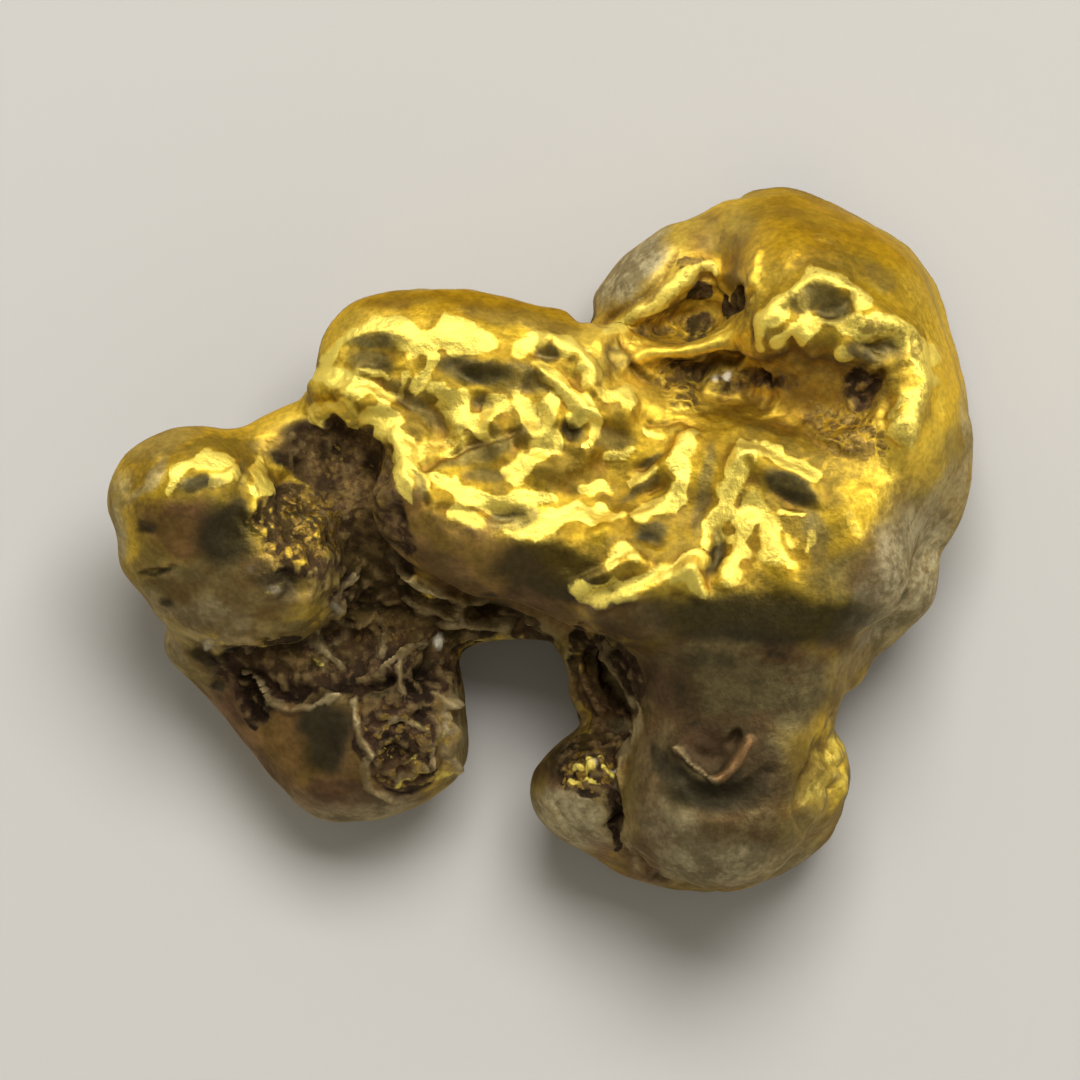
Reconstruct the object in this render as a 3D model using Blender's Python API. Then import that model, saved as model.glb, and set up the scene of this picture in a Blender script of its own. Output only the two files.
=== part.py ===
"""A natural gold nugget, one solid piece, lying on its back.

Metres, +Z up. +X is its longest side, the knob at -X, the arch at +X. +Y is the side of the arch and the
hump, -Y the side of the two legs. The origin is under the middle of its box, on the plane it rests on.

The lump is built from rounded lobes that grew together: a knob, a hump with a rolled lip, a sloping body,
an arch round a valley, a front leg on a foot, and a left leg. Each lobe is an ellipsoid or a round bar
drawn in drawing units of 0.03 mm: u to +X, v to -Y and w up from the resting plane.
"""
import math
from collections import namedtuple

import bmesh
import bpy
from mathutils import Matrix, Vector

# ---------------------------------------------------------------- driving dimensions
UNIT = 0.00003            # one drawing unit, 0.03 mm
MIDDLE = (540.0, 539.5)   # the drawing units (u, v) above the origin
GRAIN = 0.0002            # voxel size that fuses the lobes, 0.2 mm
FACES = 7800              # triangles of the finished solid, about
ROUND_LOBES = 18          # smoothing passes on the fused lobes
ROUND_HOLLOWS = 8         # smoothing passes after the hollows are cut
GOLD = (0.93, 0.60, 0.12, 1.0)

# turn is about the upright, from u towards v; tip raises the side at +v; deep is the half size below the middle
Blob = namedtuple("Blob", "name at half turn tip deep", defaults=(0.0, 0.0, None))


class Roll:
    """A round bar along a smooth line of (u, v, w, radius)."""

    def __init__(self, name, *points):
        self.name = name
        self.points = points


LOBES = [
    Blob("knob", at=(190, 502, 215), half=(82, 72, 92)),
    Blob("knob heel", at=(174, 556, 190), half=(54, 47, 70)),
    Blob("knob front", at=(262, 572, 205), half=(88, 74, 82)),
    Roll("web", (190, 478, 205, 40), (250, 465, 190, 39), (315, 442, 180, 44)),
    Blob("knob shelf", at=(225, 600, 175), half=(68, 50, 80)),
    Roll("left leg", (262, 645, 100, 74), (308, 684, 96, 87), (356, 722, 96, 101)),
    Blob("left leg side", at=(205, 640, 110), half=(42, 36, 60)),
    Blob("left leg toe", at=(416, 750, 110), half=(47, 48, 80)),
    Blob("left leg inner", at=(402, 686, 120), half=(60, 64, 88)),
    Blob("hump", at=(448, 424, 140), half=(130, 132, 128)),
    Roll("hump top", (396, 372, 196, 82), (440, 371, 203, 82), (490, 378, 206, 82), (545, 394, 206, 82), (596, 420, 200, 82)),
    Blob("hump middle", at=(505, 474, 160), half=(130, 84, 146)),
    Blob("knob side", at=(300, 545, 150), half=(60, 66, 92)),
    Blob("hump right", at=(548, 450, 140), half=(126, 130, 145)),
    Blob("hump back", at=(400, 520, 130), half=(110, 110, 115)),
    Roll("bridge", (430, 590, 130, 60), (520, 587, 145, 52), (600, 590, 160, 56)),
    Roll("lip", (398, 462, 266, 40), (420, 503, 274, 50), (472, 528, 270, 58), (540, 546, 264, 60), (600, 560, 268, 62), (660, 575, 272, 62)),
    Roll("rim", (330, 402, 200, 20), (354, 407, 240, 24), (382, 425, 262, 26), (404, 455, 270, 26)),
    Blob("body", at=(715, 520, 150), half=(175, 122, 130)),
    Blob("slope", at=(735, 506, 218), half=(160, 142, 84), tip=20),
    Roll("chin", (600, 580, 276, 46), (660, 598, 283, 46), (735, 607, 289, 46), (805, 596, 287, 48), (852, 570, 268, 56)),
    Blob("body right", at=(800, 540, 210), half=(95, 95, 110)),
    Roll("front leg", (745, 620, 205, 114), (742, 665, 202, 106), (737, 715, 203, 97), (722, 792, 205, 97)),
    Roll("leg left", (652, 636, 205, 54), (676, 690, 200, 46), (690, 745, 196, 54), (686, 800, 196, 66)),
    Blob("leg root", at=(842, 640, 150), half=(30, 52, 60)),
    Blob("foot", at=(705, 792, 92), half=(140, 100, 100)),
    Blob("foot left", at=(611, 789, 130), half=(78, 62, 90)),
    Blob("foot right", at=(787, 776, 150), half=(64, 65, 90)),
    Roll("strut", (603, 742, 140, 22), (598, 715, 145, 15), (586, 690, 150, 15), (583, 668, 158, 15), (575, 642, 165, 20)),
    Blob("strut web", at=(625, 690, 80), half=(50, 60, 60)),
    Roll("arch root", (696, 262, 116, 42), (735, 254, 120, 52)),
    Blob("arch start", at=(758, 322, 50), half=(46, 126, 212), deep=50),
    Blob("arch cap", at=(788, 334, 50), half=(62, 146, 238), deep=50),
    Blob("arch crown", at=(828, 344, 50), half=(66, 140, 245), deep=50),
    Blob("arch turn", at=(864, 366, 60), half=(88, 146, 242), deep=60),
    Blob("arch side", at=(886, 428, 90), half=(86, 120, 210), deep=80),
    Blob("arch foot", at=(852, 500, 120), half=(78, 92, 190), deep=90),
    Roll("shoulder", (932, 440, 150, 39), (927, 490, 140, 42), (895, 545, 130, 44), (862, 606, 130, 48)),
    Blob("shoulder lump", at=(892, 580, 125), half=(48, 50, 70)),
    Blob("small lobe", at=(661, 290, 110), half=(83, 50, 80), turn=-45),
    Blob("valley floor", at=(745, 370, 88), half=(160, 125, 96)),
    Blob("ledge wall", at=(672, 352, 140), half=(82, 24, 84), turn=-4),
    Roll("ledge", (610, 348, 190, 20), (650, 353, 212, 17), (700, 345, 218, 16), (740, 326, 222, 16), (758, 290, 224, 18)),
]

HOLLOWS = [
    Blob("recess", at=(332, 452, 300), half=(56, 44, 92)),
    Roll("recess run", (320, 450, 270, 30), (358, 505, 245, 34), (380, 560, 240, 34), (392, 600, 238, 34), (440, 640, 236, 34), (500, 650, 230, 30)),
    Blob("pocket", at=(692, 314, 260), half=(58, 30, 110), turn=-22),
    Blob("bowl", at=(795, 384, 330), half=(102, 48, 78), turn=10),
    Blob("valley", at=(700, 378, 280), half=(86, 24, 80), turn=6),
    Roll("strut hole", (597, 664, 230, 12), (606, 683, 225, 19), (620, 704, 220, 13)),
    Blob("lobe notch", at=(582, 310, 150), half=(12, 16, 240)),
]


# ---------------------------------------------------------------- modelling
def place(u, v, w):
    return Vector(((u - MIDDLE[0]) * UNIT, (MIDDLE[1] - v) * UNIT, w * UNIT))


def ball(bm, at, half, turn=0.0, tip=0.0, deep=None, detail=4):
    """An ellipsoid, or an egg if deep is given."""
    new = bmesh.ops.create_icosphere(bm, subdivisions=detail, radius=1.0)["verts"]
    matrix = (Matrix.Translation(place(*at)) @ Matrix.Rotation(-math.radians(turn), 4, "Z")
              @ Matrix.Rotation(-math.radians(tip), 4, "X"))
    for vert in new:
        x, y, z = vert.co
        down = half[2] if deep is None or z > 0 else deep
        vert.co = matrix @ Vector((x * half[0] * UNIT, y * half[1] * UNIT, z * down * UNIT))


def smooth_line(points, steps):
    """Points of a Catmull-Rom curve through the given ones."""
    ends = [[2 * a - b for a, b in zip(points[0], points[1])]]
    ends += [list(p) for p in points]
    ends += [[2 * a - b for a, b in zip(points[-1], points[-2])]]
    line = []
    for a, b, c, d in zip(ends, ends[1:], ends[2:], ends[3:]):
        for i in range(steps):
            t = i / steps
            line.append([0.5 * (2 * q + (r - p) * t + (2 * p - 5 * q + 4 * r - s) * t * t
                                + (3 * q - p - 3 * r + s) * t ** 3) for p, q, r, s in zip(a, b, c, d)])
    line.append(list(points[-1]))
    return line


def fuse(name, lobes):
    """One object holding every lobe of a list, still as overlapping closed shapes."""
    bm = bmesh.new()
    for lobe in lobes:
        if isinstance(lobe, Blob):
            ball(bm, lobe.at, lobe.half, lobe.turn, lobe.tip, lobe.deep)
        else:
            for u, v, w, r in smooth_line(lobe.points, 7):
                ball(bm, (u, v, w), (r, r, r), detail=3)
    mesh = bpy.data.meshes.new(name)
    bm.to_mesh(mesh)
    bm.free()
    obj = bpy.data.objects.new(name, mesh)
    bpy.context.scene.collection.objects.link(obj)
    return obj


def voxels(obj):
    m = obj.modifiers.new("fuse", "REMESH")
    m.mode = "VOXEL"
    m.voxel_size = GRAIN
    m.use_smooth_shade = True


def round_off(obj, passes):
    m = obj.modifiers.new("round", "SMOOTH")
    m.factor = 0.5
    m.iterations = passes


def subtract(obj, cutter):
    m = obj.modifiers.new("hollow", "BOOLEAN")
    m.operation = "DIFFERENCE"
    m.object = cutter
    cutter.hide_render = True
    cutter.display_type = "WIRE"


def settle(obj):
    """Turns the modifiers into the object's own mesh."""
    bpy.context.view_layer.update()
    depsgraph = bpy.context.evaluated_depsgraph_get()
    mesh = bpy.data.meshes.new_from_object(obj.evaluated_get(depsgraph))
    obj.modifiers.clear()
    old = obj.data
    obj.data = mesh
    bpy.data.meshes.remove(old)
    return obj


def triangles(mesh):
    return sum(len(p.vertices) - 2 for p in mesh.polygons)


def gold():
    mat = bpy.data.materials.new("gold")
    mat.use_nodes = True
    shader = mat.node_tree.nodes["Principled BSDF"]
    shader.inputs["Base Color"].default_value = GOLD
    shader.inputs["Metallic"].default_value = 1.0
    shader.inputs["Roughness"].default_value = 0.3
    mat.diffuse_color = GOLD
    mat.metallic = 1.0
    mat.roughness = 0.3
    return mat


def main():
    for obj in list(bpy.data.objects):
        bpy.data.objects.remove(obj, do_unlink=True)

    # the hollows as one cutter
    cutter = fuse("hollow_cutter", HOLLOWS)
    voxels(cutter)
    round_off(cutter, 3)
    settle(cutter)

    # the lobes grown together, with the hollows taken out
    nugget = fuse("gold_nugget", LOBES)
    voxels(nugget)
    round_off(nugget, ROUND_LOBES)
    subtract(nugget, cutter)
    voxels(nugget)
    round_off(nugget, ROUND_HOLLOWS)
    settle(nugget)
    thin = nugget.modifiers.new("facets", "DECIMATE")
    thin.ratio = FACES / triangles(nugget.data)
    settle(nugget)

    # worn flats: everything under the resting plane is ground off
    bm = bmesh.new()
    bm.from_mesh(nugget.data)
    cut = bmesh.ops.bisect_plane(bm, geom=bm.verts[:] + bm.edges[:] + bm.faces[:], dist=1e-7,
                                 plane_co=(0, 0, 0), plane_no=(0, 0, -1), clear_outer=True)
    rim = [e for e in cut["geom_cut"] if isinstance(e, bmesh.types.BMEdge)]
    bmesh.ops.holes_fill(bm, edges=rim, sides=0)
    for v in bm.verts:
        if v.co.z < 1e-7:
            v.co.z = 0.0

    # the origin goes under the middle of the box
    low = Vector([min(v.co[i] for v in bm.verts) for i in range(3)])
    high = Vector([max(v.co[i] for v in bm.verts) for i in range(3)])
    bmesh.ops.translate(bm, verts=bm.verts[:], vec=Vector((-(low.x + high.x) / 2, -(low.y + high.y) / 2, 0)))
    bmesh.ops.recalc_face_normals(bm, faces=bm.faces[:])
    bm.to_mesh(nugget.data)
    bm.free()

    nugget.data.materials.clear()
    nugget.data.materials.append(gold())
    nugget.data.shade_smooth()
    nugget.data.set_sharp_from_angle(angle=math.radians(50))
    bpy.data.objects.remove(cutter, do_unlink=True)


main()
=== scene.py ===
"""The looks of a natural gold nugget lying on its back, seen from straight above.

The fine surface is modelled here from the same lobes as the solid: rounded lobes are merged in a block of
voxels, a surface is drawn round them, and dents, bumps, ridges, cracks and grain are pressed into it.
Drawing units are 0.03 mm: u to +X, v to -Y and w up from the table.
"""
import math

import bmesh
import bpy
import numpy as np
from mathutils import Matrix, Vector


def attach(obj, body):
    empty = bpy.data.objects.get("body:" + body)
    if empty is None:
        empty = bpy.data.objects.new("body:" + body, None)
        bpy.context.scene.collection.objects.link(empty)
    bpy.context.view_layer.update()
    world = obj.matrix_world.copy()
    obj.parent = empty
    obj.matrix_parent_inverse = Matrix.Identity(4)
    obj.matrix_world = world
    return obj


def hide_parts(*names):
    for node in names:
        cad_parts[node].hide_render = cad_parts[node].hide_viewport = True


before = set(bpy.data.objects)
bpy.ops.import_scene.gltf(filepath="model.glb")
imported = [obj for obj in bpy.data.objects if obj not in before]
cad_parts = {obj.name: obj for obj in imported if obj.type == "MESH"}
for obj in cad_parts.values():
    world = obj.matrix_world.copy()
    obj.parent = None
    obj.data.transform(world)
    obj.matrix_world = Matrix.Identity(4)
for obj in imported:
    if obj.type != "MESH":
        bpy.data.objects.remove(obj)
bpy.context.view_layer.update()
UNIT = 0.00003
MIDDLE = (540.0, 539.5)
STEP = 3.2
KEEP = (0.16, 0.45)   # shares of the faces kept on the underside and on smooth parts

def smooth_line(points, steps=6):
    """Catmull-Rom through rows of numbers."""
    p = np.array(points, float)
    if len(p) < 3:
        t = np.linspace(0, 1, steps + 1)[:, None]
        return p[0] * (1 - t) + p[-1] * t
    q = np.vstack([2 * p[0] - p[1], p, 2 * p[-1] - p[-2]])
    out = []
    for i in range(1, len(q) - 2):
        a, b, c, d = q[i - 1], q[i], q[i + 1], q[i + 2]
        for t in np.arange(steps) / steps:
            out.append(0.5 * (2 * b + (c - a) * t + (2 * a - 5 * b + 4 * c - d) * t * t + (3 * b - a - 3 * c + d) * t ** 3))
    out.append(p[-1])
    return np.array(out)


class Clay:
    """A block of voxels that holds the distance to the surface, negative inside."""

    def __init__(self, low, high, step):
        self.step = step
        self.axes = [np.arange(low[i], high[i] + step, step, dtype=np.float32) for i in range(3)]
        self.f = np.full([len(a) for a in self.axes], 90.0, np.float32)

    def near(self, low, high):
        s = []
        for i in range(3):
            a = self.axes[i]
            s.append(slice(int(np.searchsorted(a, low[i])), int(np.searchsorted(a, high[i]))))
        return tuple(s)

    def at(self, s):
        return [self.axes[0][s[0]][:, None, None], self.axes[1][s[1]][None, :, None], self.axes[2][s[2]][None, None, :]]

    def merge(self, s, d, k, how):
        f = self.f[s]
        if f.size == 0:
            return
        if how == "add":
            h = np.maximum(k - np.abs(f - d), 0) / k
            self.f[s] = np.minimum(f, d) - h * h * k * 0.25
        elif how == "cut":
            d = -d
            h = np.maximum(k - np.abs(f - d), 0) / k
            self.f[s] = np.maximum(f, d) + h * h * k * 0.25

    def blob(self, c, r, turn=(0, 0, 0), k=30.0, how="add"):
        """An ellipsoid with half sizes r, turned by degrees about u, v and w; a fourth size is its depth below."""
        R = rotation(turn)
        half = np.sqrt((R ** 2) @ (np.array([r[0], r[1], max(r[2:])], float) ** 2)) + k + 2 * self.step
        s = self.near(np.array(c) - half, np.array(c) + half)
        U, V, W = self.at(s)
        x, y, z = U - c[0], V - c[1], W - c[2]
        # local = R^T p
        q = [R[0, i] * x + R[1, i] * y + R[2, i] * z for i in range(3)]
        half = [r[0], r[1], r[2]]
        if len(r) == 4:
            half[2] = np.where(q[2] > 0, r[2], r[3])
        k0 = np.sqrt(sum((q[i] / half[i]) ** 2 for i in range(3))) + 1e-6
        k1 = np.sqrt(sum((q[i] / half[i] ** 2) ** 2 for i in range(3))) + 1e-9
        self.merge(s, (k0 * (k0 - 1) / k1).astype(np.float32), k, how)

    def roll(self, points, k=20.0, how="add", flat=1.0, steps=5):
        """A round bar along a smooth line of (u, v, w, radius). flat squeezes its section along w."""
        line = smooth_line(points, steps)
        reach = line[:, 3].max() + k + 2 * self.step
        s = self.near(line[:, :3].min(0) - reach, line[:, :3].max(0) + reach)
        U, V, W = self.at(s)
        best = None
        for a, b in zip(line[:-1], line[1:]):
            e = b[:3] - a[:3]
            e2 = e * [1, 1, 1 / flat]
            L = float(e2 @ e2) + 1e-9
            x, y, z = U - a[0], V - a[1], (W - a[2]) / flat
            t = np.clip((x * e2[0] + y * e2[1] + z * e2[2]) / L, 0, 1)
            d = np.sqrt((x - t * e2[0]) ** 2 + (y - t * e2[1]) ** 2 + (z - t * e2[2]) ** 2) - (a[3] + t * (b[3] - a[3]))
            best = d if best is None else np.minimum(best, d)
        self.merge(s, best.astype(np.float32), k, how)


def rotation(turn):
    a, b, c = np.radians(turn)
    ca, sa, cb, sb, cc, sc = np.cos(a), np.sin(a), np.cos(b), np.sin(b), np.cos(c), np.sin(c)
    X = np.array([[1, 0, 0], [0, ca, -sa], [0, sa, ca]])
    Y = np.array([[cb, 0, sb], [0, 1, 0], [-sb, 0, cb]])
    Z = np.array([[cc, -sc, 0], [sc, cc, 0], [0, 0, 1]])
    return Z @ Y @ X


def surface_net(f, axes):
    """Quads on the zero level of a block of values: one vertex in each cell the surface crosses."""
    nx, ny, nz = f.shape
    inside = f < 0
    total = np.zeros((nx - 1, ny - 1, nz - 1, 3), np.float32)
    count = np.zeros((nx - 1, ny - 1, nz - 1), np.int32)
    for axis in range(3):
        sl0 = [slice(None)] * 3; sl1 = [slice(None)] * 3
        sl0[axis] = slice(None, -1); sl1[axis] = slice(1, None)
        a, b = f[tuple(sl0)], f[tuple(sl1)]
        cross = inside[tuple(sl0)] != inside[tuple(sl1)]
        idx = np.argwhere(cross)
        t = a[cross] / (a[cross] - b[cross])
        others = [i for i in range(3) if i != axis]
        for d0 in (0, 1):
            for d1 in (0, 1):
                cell = idx.copy()
                cell[:, others[0]] -= d0
                cell[:, others[1]] -= d1
                ok = ((cell >= 0) & (cell < np.array(total.shape[:3]))).all(1)
                c = cell[ok]
                off = np.zeros((len(c), 3), np.float32)
                off[:, axis] = t[ok]
                off[:, others[0]] = d0
                off[:, others[1]] = d1
                np.add.at(total, (c[:, 0], c[:, 1], c[:, 2]), off)
                np.add.at(count, (c[:, 0], c[:, 1], c[:, 2]), 1)
    cells = np.argwhere(count > 0)
    index = np.full(count.shape, -1, np.int64)
    index[tuple(cells.T)] = np.arange(len(cells))
    local = total[tuple(cells.T)] / count[tuple(cells.T)][:, None]
    step = axes[0][1] - axes[0][0]
    low = np.array([a[0] for a in axes])
    verts = low + (cells + local) * step
    quads = []
    for axis in range(3):
        sl0 = [slice(None)] * 3; sl1 = [slice(None)] * 3
        sl0[axis] = slice(None, -1); sl1[axis] = slice(1, None)
        a = inside[tuple(sl0)]; b = inside[tuple(sl1)]
        for sign, mask in ((1, a & ~b), (-1, ~a & b)):
            e = np.argwhere(mask)
            o = [i for i in range(3) if i != axis]
            e = e[(e[:, o[0]] > 0) & (e[:, o[1]] > 0) & (e[:, o[0]] < count.shape[o[0]]) & (e[:, o[1]] < count.shape[o[1]])]
            def cell(d0, d1):
                c = e.copy(); c[:, o[0]] -= d0; c[:, o[1]] -= d1
                return index[c[:, 0], c[:, 1], c[:, 2]]
            q = np.stack([cell(0, 0), cell(1, 0), cell(1, 1), cell(0, 1)], 1)
            if (sign > 0) != (axis == 1):
                pass
            else:
                q = q[:, ::-1]
            quads.append(q)
    return verts, np.concatenate(quads)


def lattice(i, j, k, seed):
    """A fixed random number in 0..1 for each corner of a grid."""
    h = (i.astype(np.int64) * 374761393 + j.astype(np.int64) * 668265263 + k.astype(np.int64) * 2147483647 + seed * 974634777) & 0xFFFFFFFF
    h = ((h ^ (h >> 13)) * 1274126177) & 0xFFFFFFFF
    h = ((h ^ (h >> 16)) * 2246822519) & 0xFFFFFFFF
    return ((h ^ (h >> 15)) & 0xFFFFFF) / float(0xFFFFFF)


def noise(p, size, seed=0, octaves=1):
    """Smooth noise in -1..1 at points p, with lumps about size across."""
    out = np.zeros(len(p))
    amp, total = 1.0, 0.0
    for o in range(octaves):
        q = p / size + 17.3 * (o + 1) + seed * 3.7
        c = np.floor(q)
        f = q - c
        w = f * f * f * (f * (f * 6 - 15) + 10)
        c = c.astype(np.int64)
        v = 0
        for a in (0, 1):
            wa = w[:, 0] if a else 1 - w[:, 0]
            for b in (0, 1):
                wb = w[:, 1] if b else 1 - w[:, 1]
                for d in (0, 1):
                    wd = w[:, 2] if d else 1 - w[:, 2]
                    v = v + wa * wb * wd * lattice(c[:, 0] + a, c[:, 1] + b, c[:, 2] + d, seed + o)
        out += amp * (2 * v - 1)
        total += amp
        amp *= 0.5
        size *= 0.5
    return out / total


def grains(p, size, seed=0):
    """Distance to the nearest and the second nearest of scattered points, in units of size."""
    q = p / size
    c = np.floor(q).astype(np.int64)
    f1 = np.full(len(p), 9.0)
    f2 = np.full(len(p), 9.0)
    for a in (-1, 0, 1):
        for b in (-1, 0, 1):
            for d in (-1, 0, 1):
                i, j, k = c[:, 0] + a, c[:, 1] + b, c[:, 2] + d
                x = i + lattice(i, j, k, seed) - q[:, 0]
                y = j + lattice(i, j, k, seed + 1) - q[:, 1]
                z = k + lattice(i, j, k, seed + 2) - q[:, 2]
                r = np.sqrt(x * x + y * y + z * z)
                f2 = np.minimum(f2, np.maximum(f1, r))
                f1 = np.minimum(f1, r)
    return f1, f2


def smoothstep(a, b, x):
    t = np.clip((x - a) / (b - a), 0, 1)
    return t * t * (3 - 2 * t)


# name, kind, numbers
ADD = [
    # left knob A
    ("knob", "blob", (190, 502, 215), (82, 72, 92), (0, 0, 0), 24),
    ("knob heel", "blob", (174, 556, 190), (54, 47, 70), (0, 0, 0), 24),
    ("knob front", "blob", (262, 572, 205), (88, 74, 82), (0, 0, 0), 40),
    ("web", "roll", [(190, 478, 205, 40), (250, 465, 190, 39), (315, 442, 180, 44)], 24),
    ("knob shelf", "blob", (225, 600, 175), (68, 50, 80), (0, 0, 0), 24),
    # left leg D
    ("left leg", "roll", [(262, 645, 100, 74), (308, 684, 96, 87), (356, 722, 96, 101)], 30),
    ("left leg side", "blob", (205, 640, 110), (42, 36, 60), (0, 0, 0), 20),
    ("left leg toe", "blob", (416, 750, 110), (47, 48, 80), (0, 0, 0), 24),
    ("left leg inner", "blob", (402, 686, 120), (60, 64, 88), (0, 0, 0), 24),
    # hump B
    ("hump", "blob", (448, 424, 140), (130, 132, 128), (0, 0, 0), 24),
    ("hump top", "roll", [(396, 372, 196, 82), (440, 371, 203, 82), (490, 378, 206, 82), (545, 394, 206, 82), (596, 420, 200, 82)], 24),
    ("hump middle", "blob", (505, 474, 160), (130, 84, 146), (0, 0, 0), 34),
    ("knob side", "blob", (300, 545, 150), (60, 66, 92), (0, 0, 0), 30),
    ("hump right", "blob", (548, 450, 140), (126, 130, 145), (0, 0, 0), 30),
    ("hump back", "blob", (400, 520, 130), (110, 110, 115), (0, 0, 0), 50),
    # bridge E
    ("bridge", "roll", [(430, 590, 130, 60), (520, 587, 145, 52), (600, 590, 160, 56)], 24),
    # lower lip of the hump
    ("lip", "roll", [(398, 462, 266, 40), (420, 503, 274, 50), (472, 528, 270, 58), (540, 546, 264, 60), (600, 560, 268, 62), (660, 575, 272, 62)], 34),
    ("rim", "roll", [(330, 402, 200, 20), (354, 407, 240, 24), (382, 425, 262, 26), (404, 455, 270, 26)], 20),
    # body O: a slope that climbs towards its lower edge
    ("body", "blob", (715, 520, 150), (175, 122, 130), (0, 0, 0), 40),
    ("slope", "blob", (735, 506, 218), (160, 142, 84), (20, 0, 0), 30),
    ("chin", "roll", [(600, 580, 276, 46), (660, 598, 283, 46), (735, 607, 289, 46), (805, 596, 287, 48), (852, 570, 268, 56)], 36),
    ("body right", "blob", (800, 540, 210), (95, 95, 110), (0, 0, 0), 40),
    # front leg F
    ("front leg", "roll", [(745, 620, 205, 114), (742, 665, 202, 106), (737, 715, 203, 97), (722, 792, 205, 97)], 30),
    ("leg left", "roll", [(652, 636, 205, 54), (676, 690, 200, 46), (690, 745, 196, 54), (686, 800, 196, 66)], 24),
    ("leg root", "blob", (842, 640, 150), (30, 52, 60), (0, 0, 0), 20),
    # foot G + H behind the front leg
    ("foot", "blob", (705, 792, 92), (140, 100, 100), (0, 0, 0), 20),
    ("foot left", "blob", (611, 789, 130), (78, 62, 90), (0, 0, 0), 16),
    ("foot right", "blob", (787, 776, 150), (64, 65, 90), (0, 0, 0), 16),
    ("strut", "roll", [(603, 742, 140, 22), (598, 715, 145, 15), (586, 690, 150, 15), (583, 668, 158, 15), (575, 642, 165, 20)], 12),
    ("strut web", "blob", (625, 690, 80), (50, 60, 60), (0, 0, 0), 16),
    # arch K: cliffs that rise from the outline to a crest
    ("arch root", "roll", [(696, 262, 116, 42), (735, 254, 120, 52)], 20),
    ("arch start", "blob", (758, 322, 50), (46, 126, 212, 50), (0, 0, 0), 30),
    ("arch cap", "blob", (788, 334, 50), (62, 146, 238, 50), (0, 0, 0), 30),
    ("arch crown", "blob", (828, 344, 50), (66, 140, 245, 50), (0, 0, 0), 30),
    ("arch turn", "blob", (864, 366, 60), (88, 146, 242, 60), (0, 0, 0), 24),
    ("arch side", "blob", (886, 428, 90), (86, 120, 210, 80), (0, 0, 0), 24),
    ("arch foot", "blob", (852, 500, 120), (78, 92, 190, 90), (0, 0, 0), 30),
    # shoulder strip behind the arch
    ("shoulder", "roll", [(932, 440, 150, 39), (927, 490, 140, 42), (895, 545, 130, 44), (862, 606, 130, 48)], 18),
    ("shoulder lump", "blob", (892, 580, 125), (48, 50, 70), (0, 0, 0), 14),
    # small lobe L
    ("small lobe", "blob", (661, 290, 110), (83, 50, 80), (0, 0, -45), 14),
    # floor of the valley and pocket
    ("valley floor", "blob", (745, 370, 88), (160, 125, 96), (0, 0, 0), 40),
    ("ledge wall", "blob", (672, 352, 140), (82, 24, 84), (0, 0, -4), 16),
    ("ledge", "roll", [(610, 348, 190, 20), (650, 353, 212, 17), (700, 345, 218, 16), (740, 326, 222, 16), (758, 290, 224, 18)], 14),
]
CUT = [
    ("recess", "blob", (332, 452, 300), (56, 44, 92), (0, 0, 0), 26),
    ("recess run", "roll", [(320, 450, 270, 30), (358, 505, 245, 34), (380, 560, 240, 34), (392, 600, 238, 34), (440, 640, 236, 34), (500, 650, 230, 30)], 24),
    ("pocket", "blob", (692, 314, 260), (58, 30, 110), (0, 0, -22), 14),
    ("bowl", "blob", (795, 384, 330), (102, 48, 78), (0, 0, 10), 22),
    ("valley", "blob", (700, 378, 280), (86, 24, 80), (0, 0, 6), 16),
    ("strut hole", "roll", [(597, 664, 230, 12), (606, 683, 225, 19), (620, 704, 220, 13)], 8),
    ("lobe notch", "blob", (582, 310, 150), (12, 16, 240), (0, 0, 0), 8),
]


def build(step=4.0):
    c = Clay((85, 160, -30), (1000, 920, 460), step)
    for how, rows in (("add", ADD), ("cut", CUT)):
        for row in rows:
            if row[1] == "blob":
                c.blob(row[2], row[3], turn=row[4], k=row[5], how=how)
            else:
                c.roll(row[2], k=row[3], how=how, steps=10)
    return c


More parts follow.
